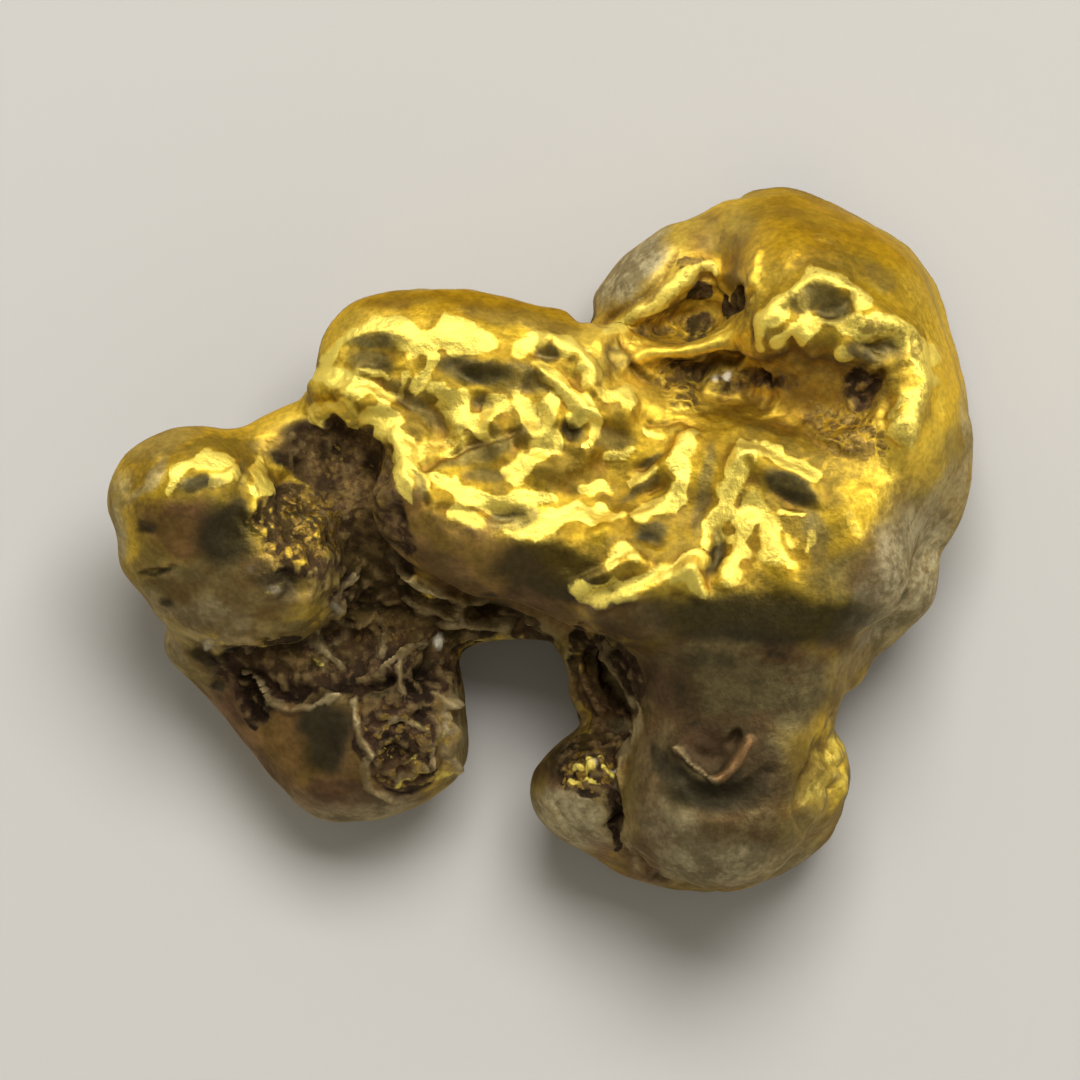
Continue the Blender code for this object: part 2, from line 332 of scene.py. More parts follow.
# soft bumps and dents: u, v, half sizes, turn in degrees from u towards v, height (dents are negative)
BUMPS = [
    # hump
    (372, 352, 36, 21, -5, -10), (374, 366, 13, 11, 0, -5), (390, 384, 13, 14, -20, 6), (322, 396, 14, 16, 0, 6), (324, 420, 14, 14, 0, 5), (348, 418, 18, 16, 0, 6),
    (450, 387, 26, 24, -30, 8), (464, 424, 24, 46, -6, 13), (496, 432, 24, 36, 10, 12), (525, 430, 17, 26, -20, 8), (553, 424, 20, 36, 15, 10),
    (485, 376, 46, 15, 12, -9), (518, 392, 22, 15, 20, -6), (545, 354, 20, 14, 20, -6),
    (580, 452, 28, 30, 0, 11), (569, 431, 14, 12, 0, -10), (622, 414, 26, 24, 35, 9), (545, 470, 36, 26, -8, 9), (518, 492, 26, 26, 0, 5), (440, 466, 30, 22, 0, 7),
    (415, 425, 38, 18, 25, 4), (462, 540, 36, 26, 10, 7), (503, 514, 24, 12, 0, -6), (398, 490, 22, 40, 10, 9), (560, 540, 60, 22, 0, 3), (606, 540, 24, 30, 0, 6),
    (590, 480, 40, 16, -6, 4), (660, 470, 20, 14, -30, 5),
    # knob
    (196, 478, 19, 11, -5, -2), (258, 494, 24, 32, 10, 8), (228, 476, 18, 22, 0, 4), (145, 532, 10, 9, 0, -5), (168, 603, 11, 17, 0, -6),
    (140, 474, 16, 28, 35, -4), (165, 455, 14, 8, -30, -2), (290, 583, 28, 20, 0, -10), (279, 590, 12, 8, -15, 6), (225, 530, 26, 36, 0, -3),
    (207, 650, 14, 12, 0, -9), (206, 649, 8, 7, 0, 8), (214, 683, 8, 6, 0, -8), (236, 652, 9, 8, 0, -7),
    # left leg
    (253, 695, 14, 28, -35, -6), (328, 745, 20, 40, 0, -9), (378, 681, 28, 12, -10, -16), (432, 668, 17, 22, 0, -16), (415, 690, 16, 18, 0, -10),
    (398, 745, 34, 44, 0, -8), (450, 735, 13, 18, 0, 6), (452, 765, 13, 16, 0, 6), (448, 705, 12, 16, 0, 5),
    # bridge
    (486, 610, 18, 11, 10, -14), (520, 628, 16, 7, 25, -9), (370, 605, 30, 18, 0, -8),
    # arch
    (790, 312, 20, 18, 0, -8), (838, 308, 24, 15, 0, -10), (884, 346, 32, 16, 22, -11),
    (808, 342, 18, 26, 0, 7), (846, 354, 22, 26, -20, 8), (814, 260, 56, 34, 4, 7), (766, 322, 16, 30, 12, 6), (812, 306, 34, 20, 6, -5), (874, 352, 34, 16, 14, -4), (935, 402, 18, 28, -10, -5), (822, 240, 18, 8, 0, 4), (905, 440, 30, 40, 0, 6),
    # valley
    (720, 382, 26, 12, -18, 10), (682, 394, 22, 20, 0, 7), (845, 440, 40, 20, 20, 6),
    # body
    (738, 460, 140, 50, 4, 11), (775, 407, 115, 34, 5, -14), (714, 552, 12, 32, 12, -6), (789, 496, 30, 16, 20, -7), (655, 540, 20, 13, 0, -5), (846, 520, 40, 50, 0, 6), (776, 560, 26, 44, -16, 6),
    (648, 466, 20, 8, -15, -5), (655, 490, 20, 6, -20, -4), (645, 484, 22, 12, -20, 5), (620, 520, 30, 20, -20, 5),
    # dimple of the front leg
    (712, 750, 34, 30, 0, -13), (735, 735, 12, 13, 20, -12), (705, 742, 16, 12, 30, 5), (718, 800, 56, 24, 0, -7), (655, 700, 30, 40, 0, 3),
    # foot
    (593, 766, 11, 12, 0, 8), (577, 770, 10, 10, 0, 7), (612, 770, 9, 10, 0, 6), (588, 785, 20, 9, 10, 7), (612, 828, 11, 9, 0, -13),
    (903, 592, 8, 10, 0, -9), (933, 568, 12, 22, 0, 4), (834, 750, 12, 16, 0, 6), (826, 774, 12, 14, 0, 6), (840, 785, 10, 14, 0, 5), (820, 798, 12, 12, 0, 5), (838, 764, 6, 6, 0, -4), (828, 788, 6, 6, 0, -4),
]

# ridges and grooves: height, half width, points
LINES = [
    # hump
    (8, 17, [(328, 384), (348, 394), (368, 402), (390, 408)]),
    (6, 12, [(322, 414), (336, 410), (350, 420)]),
    (8, 13, [(548, 340), (570, 350), (586, 368), (594, 390)]),
    (9, 14, [(546, 376), (564, 390), (583, 408), (600, 416)]),
    (-5, 6, [(426, 472), (445, 458), (465, 450), (490, 440), (520, 432)]),
    (-4, 7, [(440, 508), (470, 512), (500, 506)]),
    (-6, 6, [(414, 474), (420, 486), (426, 500)]),
    (8, 15, [(358, 422), (380, 430), (398, 444), (410, 464), (420, 490)]),
    # knob
    (-5, 5, [(143, 575), (158, 570), (174, 568)]),
    (-5, 7, [(196, 650), (212, 642), (232, 642), (262, 648), (300, 647), (322, 634)]),
    # arch
    (4, 6, [(761, 250), (755, 264), (752, 282)]),
    (12, 24, [(768, 345), (778, 318), (802, 292), (830, 288), (862, 312), (896, 336), (912, 358), (915, 390), (900, 424)]),
    # valley and pocket
    (-3, 6, [(610, 350), (616, 358), (620, 364)]),
    (-10, 7, [(634, 369), (648, 378), (664, 385)]),
    (-18, 9, [(697, 372), (714, 362), (736, 360), (752, 370), (762, 380)]),
    (-10, 9, [(852, 399), (866, 389), (880, 373)]),
    (7, 6, [(804, 423), (816, 433), (830, 446), (848, 455)]),
    (7, 15, [(600, 340), (632, 320), (660, 304), (682, 284), (694, 270), (712, 272)]),
    (-4, 6, [(600, 322), (640, 298), (664, 276), (676, 254)]),
    # body
    (7, 16, [(688, 448), (676, 468), (674, 488), (664, 508), (640, 524)]),
    (8, 20, [(744, 462), (730, 486), (716, 512), (702, 536), (694, 560), (690, 584)]),
    (6, 16, [(744, 522), (740, 540), (734, 558), (724, 578)]),
    (7, 18, [(744, 462), (770, 472), (792, 480), (814, 492)]),
    (-3, 5, [(650, 421), (668, 424), (690, 429)]),
    (7, 12, [(574, 588), (596, 578), (625, 566), (640, 564)]),
    (8, 13, [(598, 604), (620, 600), (645, 592), (688, 576)]),
    (6, 12, [(690, 572), (700, 592)]),
    # dimple of the front leg
    (-5, 14, [(664, 758), (680, 780), (705, 799), (740, 793), (768, 770)]),
    # foot
    (-12, 8, [(612, 742), (614, 770), (616, 800), (614, 828)]),
    (-7, 6, [(618, 838), (640, 860), (665, 882)]),
    (-6, 10, [(834, 722), (820, 748), (808, 778), (800, 806), (806, 830)]),
    (5, 5, [(538, 790), (552, 812), (572, 832)]),
]

# thin pale ridges that stand clean of the dirt: height, half width, points
RIDGES = [
    (8, 6, [(318, 640), (328, 620), (341, 599), (360, 577)]),
    (8, 4, [(243, 674), (262, 685), (275, 700), (292, 713)]),
    (8, 5, [(296, 710), (315, 702), (336, 693)]),
    (8, 5, [(356, 692), (356, 714), (358, 736), (367, 757)]),
    (8, 4, [(366, 755), (361, 776), (371, 793), (400, 798)]),
    (10, 6, [(357, 677), (377, 672), (400, 656), (428, 639)]),
    (8, 4, [(399, 664), (403, 695)]),
    (10, 6, [(442, 690), (449, 706)]),
    (8, 5, [(433, 714), (436, 740), (435, 768)]),
    (7, 5, [(444, 716), (452, 738), (446, 752), (455, 770)]),
    (7, 5, [(396, 782), (412, 776), (428, 770)]),
    (7, 5, [(392, 722), (415, 728), (424, 735)]),
    (10, 7, [(387, 556), (405, 572), (420, 582), (450, 596), (478, 597)]),
    (10, 6, [(407, 601), (425, 611), (455, 613)]),
    (10, 6, [(460, 590), (465, 617)]),
    (10, 6, [(440, 622), (470, 624), (505, 628)]),
    (7, 5, [(335, 640), (350, 625), (372, 618)]),
    (7, 4, [(382, 622), (388, 634), (376, 650)]),
    (9, 6, [(343, 636), (338, 618), (346, 602)]),
    (7, 5, [(228, 640), (245, 637), (262, 645)]),
    (5, 4, [(322, 646), (332, 655), (338, 664)]),
    (11, 5, [(677, 747), (689, 758), (701, 770), (714, 781)]),
    (6, 6, [(600, 642), (614, 676), (634, 712), (636, 732), (622, 765), (618, 806), (628, 850), (652, 876)]),
    (15, 9, [(586, 684), (598, 706), (614, 720), (630, 728)]),
]


def bump(u, v, row):
    cu, cv, ru, rv, turn, h = row
    a = np.radians(turn)
    x, y = u - cu, v - cv
    q = ((x * np.cos(a) + y * np.sin(a)) / ru) ** 2 + ((y * np.cos(a) - x * np.sin(a)) / rv) ** 2
    return h * np.clip(1 - q, 0, 1) ** 2


def line_distance(u, v, points):
    best = np.full(u.shape, 1e9)
    line = smooth_line(points, 4)
    near = (u > line[:, 0].min() - 30) & (u < line[:, 0].max() + 30) & (v > line[:, 1].min() - 30) & (v < line[:, 1].max() + 30)
    uu, vv, b = u[near], v[near], best[near]
    for p, q in zip(line[:-1], line[1:]):
        e = q - p
        t = np.clip(((uu - p[0]) * e[0] + (vv - p[1]) * e[1]) / (e @ e + 1e-9), 0, 1)
        b = np.minimum(b, np.hypot(uu - p[0] - t * e[0], vv - p[1] - t * e[1]))
    best[near] = b
    return best


def relief(u, v):
    h = np.zeros(u.shape)
    for row in BUMPS:
        h += bump(u, v, row)
    for height, half, points in LINES:
        d = line_distance(u, v, points) / half
        h += height * np.clip(1 - d * d, 0, 1) ** 2
    flat = np.stack([u, v, 0 * u], 1)
    wide, tall = 0.85 + 0.7 * noise(flat, 15, 81), 0.85 + 0.9 * noise(flat, 19, 82)
    for height, half, points in RIDGES + [(9, 9, COPPER[0])]:
        d = line_distance(u, v, points) / (0.9 * half * np.clip(wide, 0.5, 1.2))
        h += 0.85 * height * np.clip(tall, 0.3, 1.3) * np.clip(1 - d * d, 0, 1) ** 1.5
    return h


# a coppery fold, and painted glints: near-white spots on the dirt and in the pits
COPPER = [[(719, 778), (727, 769), (736, 759), (745, 748), (750, 738)], [(588, 680), (592, 694), (602, 708), (618, 716), (628, 722)]]
PAINTED_GLINTS = [(442, 643, 6, 6, 1.0), (727, 376, 5, 5, 0.9), (715, 380, 4, 6, 0.6), (206, 649, 8, 6, 0.3), (276, 589, 9, 4, 0.08), (252, 568, 4, 4, 0.1), (593, 762, 4, 6, 0.7), (578, 766, 4, 3, 0.6), (612, 766, 4, 3, 0.6), (337, 607, 4, 4, 0.08)]


def clean(u, v):
    """1 on the thin ridges, 0 a few units away."""
    m = np.zeros(u.shape)
    flat = np.stack([u, v, 0 * u], 1)
    wide, bare = np.clip(0.75 + 0.7 * noise(flat, 15, 81), 0.45, 1.2), np.clip(0.8 + 1.4 * noise(flat, 22, 83), 0.15, 1)
    for height, half, points in RIDGES:
        d = line_distance(u, v, points) / (half * wide)
        m = np.maximum(m, bare * np.clip(2.0 * (0.85 - d * d), 0, 1))
    return m


# zones on the side that faces up: u, v, half sizes, turn, strength; patina and dirt, with painted shade and painted
# reflection among them
KNOTTY = [(470, 400, 120, 60, 8, 1.0), (590, 420, 50, 50, 0, 0.8), (520, 470, 110, 34, 5, 0.8), (620, 520, 50, 40, 0, 0.7), (850, 330, 70, 40, 30, 0.6), (735, 500, 60, 60, 0, 0.1), (832, 772, 20, 44, 0, 0.5)]
BUSY = [(800, 385, 100, 60, 8, 1.0), (690, 310, 70, 40, -20, 1.0), (690, 378, 70, 26, 5, 1.0), (330, 560, 200, 180, 0, 1.0), (400, 700, 90, 110, 0, 1.0), (280, 670, 90, 50, 0, 1.0), (600, 700, 60, 150, 0, 1.0), (716, 755, 60, 50, 0, 1.0), (480, 610, 60, 30, 0, 1.0)]
LUMPY = [
    (800, 385, 90, 44, 8, 0.8), (690, 380, 60, 20, 5, 0.7), (650, 322, 40, 20, -20, 0.6), (700, 262, 40, 16, -10, 0.7),
    (470, 400, 170, 90, 0, 1.0), (500, 500, 150, 60, 10, 0.8), (720, 510, 120, 100, 0, 0.35), (832, 772, 24, 50, 0, 0.6), (850, 340, 90, 60, 30, 0.8), (190, 475, 60, 30, 0, 0.6), (620, 560, 70, 50, 0, 0.9), (890, 430, 40, 60, 0, 0.6),
    (630, 300, 60, 30, -45, 0.6), (840, 480, 60, 50, 0, 0.4),
]
TAN = [
    (350, 474, 46, 56, 0, 0.85), (304, 444, 30, 24, 0, 0.8),
    (385, 700, 100, 60, 0, 0.9), (440, 720, 30, 70, 0, 0.9), (330, 586, 26, 32, 0, 0.8), (262, 630, 90, 16, 4, 0.9),
    (628, 622, 54, 20, 8, 0.95),
    (146, 572, 26, 30, -10, 0.8), (182, 668, 34, 44, -30, 0.95), (300, 632, 60, 14, 0, 0.6), (330, 604, 20, 30, 0, 0.6),
    (556, 728, 30, 34, 0, 0.95), (566, 690, 16, 40, 0, 0.9), (846, 700, 22, 46, 0, 0.95), (858, 735, 20, 16, 0, 0.4), (905, 640, 40, 24, 0, 0.8),
    (222, 595, 110, 50, 0, 0.95), (150, 440, 60, 16, -20, 0.6), (540, 615, 50, 24, 30, 0.9), (610, 606, 70, 18, 12, 0.95), (858, 645, 44, 46, -30, 1.0), (565, 680, 18, 56, 0, 0.9), (548, 780, 24, 34, 0, 0.7), (230, 780, 90, 30, 40, 0.8), (895, 590, 50, 70, 0, 0.9), (122, 520, 22, 70, 8, 0.15), (175, 640, 40, 50, 0, 0.8), (710, 790, 112, 150, 0, 1.0), (735, 680, 135, 70, 0, 1.0), (810, 855, 50, 40, 0, 0.8), (735, 640, 150, 40, 0, 0.5),
    (575, 810, 60, 50, 0, 0.9), (350, 806, 120, 30, 0, 1.0), (225, 680, 30, 50, -30, 1.0), (345, 770, 20, 50, 0, 0.8), (455, 740, 20, 60, 0, 0.7), (920, 560, 50, 90, 0, 0.9), (955, 470, 26, 60, 10, 0.7),
    (640, 265, 66, 46, -45, 0.4), (700, 235, 26, 20, -30, 0.3), (460, 585, 90, 20, 40, 0.7), (800, 850, 60, 60, 0, 0.9), (455, 740, 16, 70, 0, 0.6),
]
# red-brown: partly stain, partly a painted reflection in the bands under the highlights of the knob and of the lip
RED_STAIN_AND_REFLECTION = [
    (300, 445, 34, 24, 0, 0.5), (372, 500, 24, 60, -8, 0.4),
    (612, 852, 36, 14, 35, 0.7), (176, 520, 34, 22, 0, 1.0),
    (184, 528, 54, 34, 5, 1.0), (250, 720, 50, 44, 30, 0.8), (552, 772, 20, 18, 0, 0.9), (600, 628, 50, 20, 30, 0.6), (455, 545, 80, 26, 30, 0.8), (545, 590, 60, 24, 25, 0.5), (255, 740, 80, 80, 0, 1.0), (300, 770, 60, 40, 30, 0.8), (330, 760, 60, 60, 0, 0.7), (400, 740, 60, 60, 0, 0.5), (460, 560, 90, 40, 32, 0.9), (400, 530, 30, 50, -10, 0.9),
    (640, 640, 50, 30, 0, 0.4), (590, 690, 14, 24, -15, 1.0), (655, 770, 26, 40, 0, 0.4), (706, 744, 30, 22, 0, 1.0), (640, 690, 40, 60, 0, 0.6), (636, 862, 34, 20, 40, 0.8), (800, 372, 80, 34, 8, 0.5), (845, 395, 40, 30, 0, 0.3), (735, 350, 60, 12, -10, 0.3), (480, 560, 120, 36, 28, 0.9), (400, 520, 30, 40, 0, 0.9),
]
# painted shade: near-black in pits, slots, cracks and holes, and in dark patches and bands below the highlights
PAINTED_SHADE = [
    (294, 690, 32, 13, 10, 0.9), (380, 683, 26, 9, -8, 1.0), (428, 674, 20, 15, 0, 0.9), (352, 586, 20, 22, 0, 0.5), (388, 590, 24, 12, 20, 0.5), (338, 446, 17, 11, 0, 1.0), (367, 466, 12, 12, 0, 0.9), (284, 454, 20, 11, 0, 1.0), (324, 470, 7, 26, 6, 0.6), (356, 524, 30, 12, 20, 0.6), (374, 545, 18, 26, -10, 0.45), (376, 604, 30, 9, 0, 0.8), (618, 672, 17, 34, -10, 0.8), (500, 608, 22, 8, 10, 0.8), (398, 745, 16, 14, 0, 0.6), (300, 434, 20, 12, 0, 0.5), (612, 800, 9, 34, 0, 0.7),
    (284, 582, 30, 20, 0, 0.85), (168, 603, 9, 8, 0, 0.8), (160, 570, 17, 4, -10, 0.9), (207, 652, 16, 13, 0, 0.85), (213, 683, 10, 6, 0, 0.95), (232, 650, 10, 6, 0, 0.8), (145, 530, 9, 9, 0, 0.8),
    (690, 777, 28, 12, 42, 1.0), (730, 784, 24, 9, -42, 0.9), (668, 754, 9, 22, -24, 0.9), (716, 748, 20, 20, 0, 0.5), (568, 760, 30, 20, 0, 0.7),
    (715, 750, 62, 50, 0, 0.55), (903, 592, 8, 8, 0, 0.9),
    (722, 688, 105, 38, 0, 0.5), (750, 616, 110, 22, 4, 0.8),
    (228, 530, 36, 42, -10, 1.0), (556, 768, 14, 12, 0, 0.6), (196, 480, 17, 8, 0, 0.8), (560, 572, 80, 30, 8, 0.9), (760, 618, 130, 32, 0, 0.95), (640, 640, 60, 18, 0, 0.3), (780, 760, 50, 40, 0, 0.5), (725, 792, 66, 20, 0, 0.9),
    (736, 736, 10, 12, 20, 0.6), (715, 792, 44, 14, 0, 1.0), (668, 770, 12, 26, -20, 0.8), (772, 770, 34, 34, 0, 0.7), (328, 738, 30, 46, 6, 1.0), (258, 693, 16, 30, -40, 0.9), (345, 690, 14, 20, 0, 0.5), (478, 372, 34, 12, 10, 0.6), (376, 362, 20, 12, 0, 0.6), (832, 310, 18, 12, 0, 0.5), (880, 345, 26, 12, 25, 0.5), (788, 488, 24, 9, 20, 0.7),
    (716, 552, 9, 24, 12, 0.5), (572, 430, 10, 9, 0, 0.6), (655, 536, 16, 8, 0, 0.6), (775, 830, 50, 20, 0, 0.3),
]
GRIT = [
    (312, 520, 34, 50, -20, 0.85), (268, 545, 24, 32, 0, 0.65), (350, 478, 44, 56, 0, 0.4), (682, 386, 26, 20, 0, 0.9), (845, 432, 50, 26, 20, 0.9), (585, 772, 30, 20, 0, 0.9), (402, 742, 44, 50, 0, 0.5), (828, 775, 26, 56, 0, 0.35),
    (300, 665, 60, 24, 0, 0.2), (660, 322, 30, 18, 0, 0.7), (694, 264, 22, 10, 0, 0.9), (730, 375, 20, 14, 0, 0.6), (395, 625, 60, 30, 0, 0.3), (452, 745, 14, 56, 0, 0.8), (935, 568, 16, 30, 0, 0.5),
]
DIRT = [
    (345, 636, 40, 20, 0, 0.95), (395, 642, 44, 26, 0, 0.9), (436, 664, 26, 40, 0, 0.85), (540, 640, 24, 12, 30, 0.7), (585, 650, 16, 30, -20, 0.7), (575, 690, 10, 40, -15, 0.6),
    (335, 450, 66, 36, 0, 0.72), (370, 530, 42, 80, -10, 0.82), (310, 530, 60, 60, 0, 0.75), (370, 600, 54, 40, 10, 0.95), (440, 620, 70, 26, 10, 0.95), (310, 665, 110, 30, 0, 0.85), (400, 680, 60, 30, 0, 0.9), (400, 740, 46, 60, 0, 1.0), (252, 695, 18, 32, -35, 1.0), (290, 690, 34, 16, 10, 0.9),
    (700, 312, 46, 32, -20, 0.28), (640, 337, 36, 12, -20, 0.4), (706, 290, 12, 14, 0, 1.0), (741, 298, 12, 16, 20, 1.0), (700, 328, 30, 10, -20, 0.5), (735, 376, 84, 20, 8, 0.5), (862, 385, 30, 34, 10, 0.5), (800, 385, 60, 30, 0, 0.1), (610, 690, 34, 60, 0, 1.0), (588, 765, 40, 30, 0, 0.9), (614, 800, 9, 50, 0, 1.0),
    (572, 690, 14, 44, 0, 0.8), (596, 745, 26, 14, 0, 0.9), (505, 620, 40, 14, 20, 0.9),
]
# painted shade: darker, mottled orange gold, mostly on the steep faces along the tops
PAINTED_ORANGE_SHADE = [
    (138, 466, 14, 26, 35, 0.8), (222, 447, 50, 12, 8, 0.9), (166, 486, 8, 26, 30, 0.7),
    (725, 250, 40, 40, 0, 0.9),
    (830, 235, 110, 60, 10, 0.9), (450, 300, 155, 26, 5, 1.0), (810, 385, 80, 40, 8, 0.9), (660, 318, 40, 24, -30, 0.8), (772, 428, 110, 22, 5, 0.9), (586, 468, 66, 18, -6, 0.9), (535, 322, 48, 20, 12, 0.8), (475, 508, 24, 6, 5, 0.8), (640, 548, 46, 12, -8, 0.6), (425, 425, 50, 22, 20, 0.5), (200, 440, 80, 14, 0, 0.5), (600, 560, 60, 30, 0, 0.2),
]

# loose brown earth, paler than the dirt round it; also painted light, lightening spots that lie in shade in the
# recesses
EARTH_AND_PAINTED_LIGHT = [(348, 474, 46, 62, -6, 1.0), (378, 526, 20, 40, -10, 0.6), (300, 440, 26, 26, 0, 0.5), (590, 692, 16, 34, -20, 1.0), (500, 615, 60, 14, 15, 0.4), (628, 690, 10, 40, -20, 0.4)]
# where the painted highlights are pitted like lace with darker spots
PAINTED_HIGHLIGHT_LACE = [(820, 300, 70, 44, 20, 1.0), (885, 345, 50, 40, 40, 1.0), (905, 400, 30, 60, 0, 0.8), (660, 285, 70, 26, -35, 1.0), (470, 400, 130, 66, 8, 0.45), (590, 420, 50, 60, 0, 0.4), (832, 772, 24, 50, 0, 0.8), (620, 560, 60, 30, 0, 0.35)]
# pale grey skin, and places the dirt keeps out of
ASH = [
    (967, 430, 9, 60, 0, 0.6), (700, 868, 60, 16, 0, 0.5),
    (152, 474, 8, 30, 38, 0.6), (134, 498, 7, 20, 30, 0.5), (118, 520, 10, 50, 4, 0.6), (626, 262, 52, 34, -50, 1.0), (200, 622, 60, 20, 15, 0.4), (880, 612, 40, 30, -40, 0.7),
    (915, 570, 44, 60, 0, 0.8), (565, 815, 46, 36, 30, 0.8), (456, 740, 14, 60, 0, 0.8), (612, 262, 40, 26, -50, 0.9), (650, 232, 34, 14, -20, 0.8), (740, 862, 90, 26, 0, 0.6), (660, 840, 50, 40, 0, 0.4),
    (150, 640, 30, 60, -20, 0.4), (345, 812, 110, 16, 0, 0.5), (480, 632, 70, 12, 0, 0.5), (950, 500, 24, 50, 15, 0.5),
]
# painted shade: dim grey-green patches that stand for dark reflections; they also dim the painted highlights and
# roughen the skin
PAINTED_DIM_REFLECTION = [
    (538, 322, 44, 12, 14, 0.5), (490, 314, 34, 7, 8, 0.45), (400, 300, 40, 6, 0, 0.3), (350, 318, 18, 8, -40, 0.3), (800, 216, 50, 10, 10, 0.3), (740, 215, 40, 12, -15, 0.4), (715, 240, 20, 14, 0, 0.5),
    (242, 474, 5, 18, 0, 0.6), (266, 448, 18, 8, 0, 0.4), (824, 300, 16, 9, 20, 0.9), (790, 300, 8, 8, 0, 0.8),
    (616, 358, 16, 14, 30, 0.7), (600, 372, 8, 22, 20, 0.5),
    # hump
    (374, 340, 30, 8, -4, 1.0), (204, 481, 27, 8, -5, 1.0), (368, 362, 22, 15, 10, 0.8), (475, 370, 42, 12, 12, 1.0), (524, 381, 32, 17, 15, 0.85), (487, 402, 13, 8, 0, 0.9), (415, 404, 44, 12, 38, 0.75), (478, 452, 46, 10, -22, 0.75),
    (486, 476, 26, 8, 0, 0.7), (513, 516, 28, 14, -10, 1.0), (421, 486, 6, 13, -15, 0.9), (550, 352, 14, 9, 15, 0.85), (573, 432, 11, 9, 0, 0.9), (528, 431, 18, 8, -20, 0.6), (612, 440, 20, 12, 10, 0.5),
    # arch
    (806, 300, 18, 12, -10, 1.0), (834, 312, 18, 14, 10, 1.0), (872, 349, 30, 12, 12, 1.0), (920, 410, 14, 20, 0, 0.6), (878, 276, 20, 14, 30, 0.5), (738, 228, 26, 16, -30, 0.6),
    # body
    (703, 492, 9, 44, 12, 0.8), (712, 553, 9, 25, 14, 1.0), (790, 487, 28, 10, 22, 1.0), (815, 540, 13, 36, -8, 0.75), (850, 580, 46, 34, 0, 0.9), (652, 534, 17, 8, -10, 1.0), (655, 460, 14, 5, -20, 0.9), (642, 489, 28, 5, -22, 0.9),
    (735, 608, 130, 12, 2, 0.5), (612, 585, 20, 6, -20, 0.4),
]
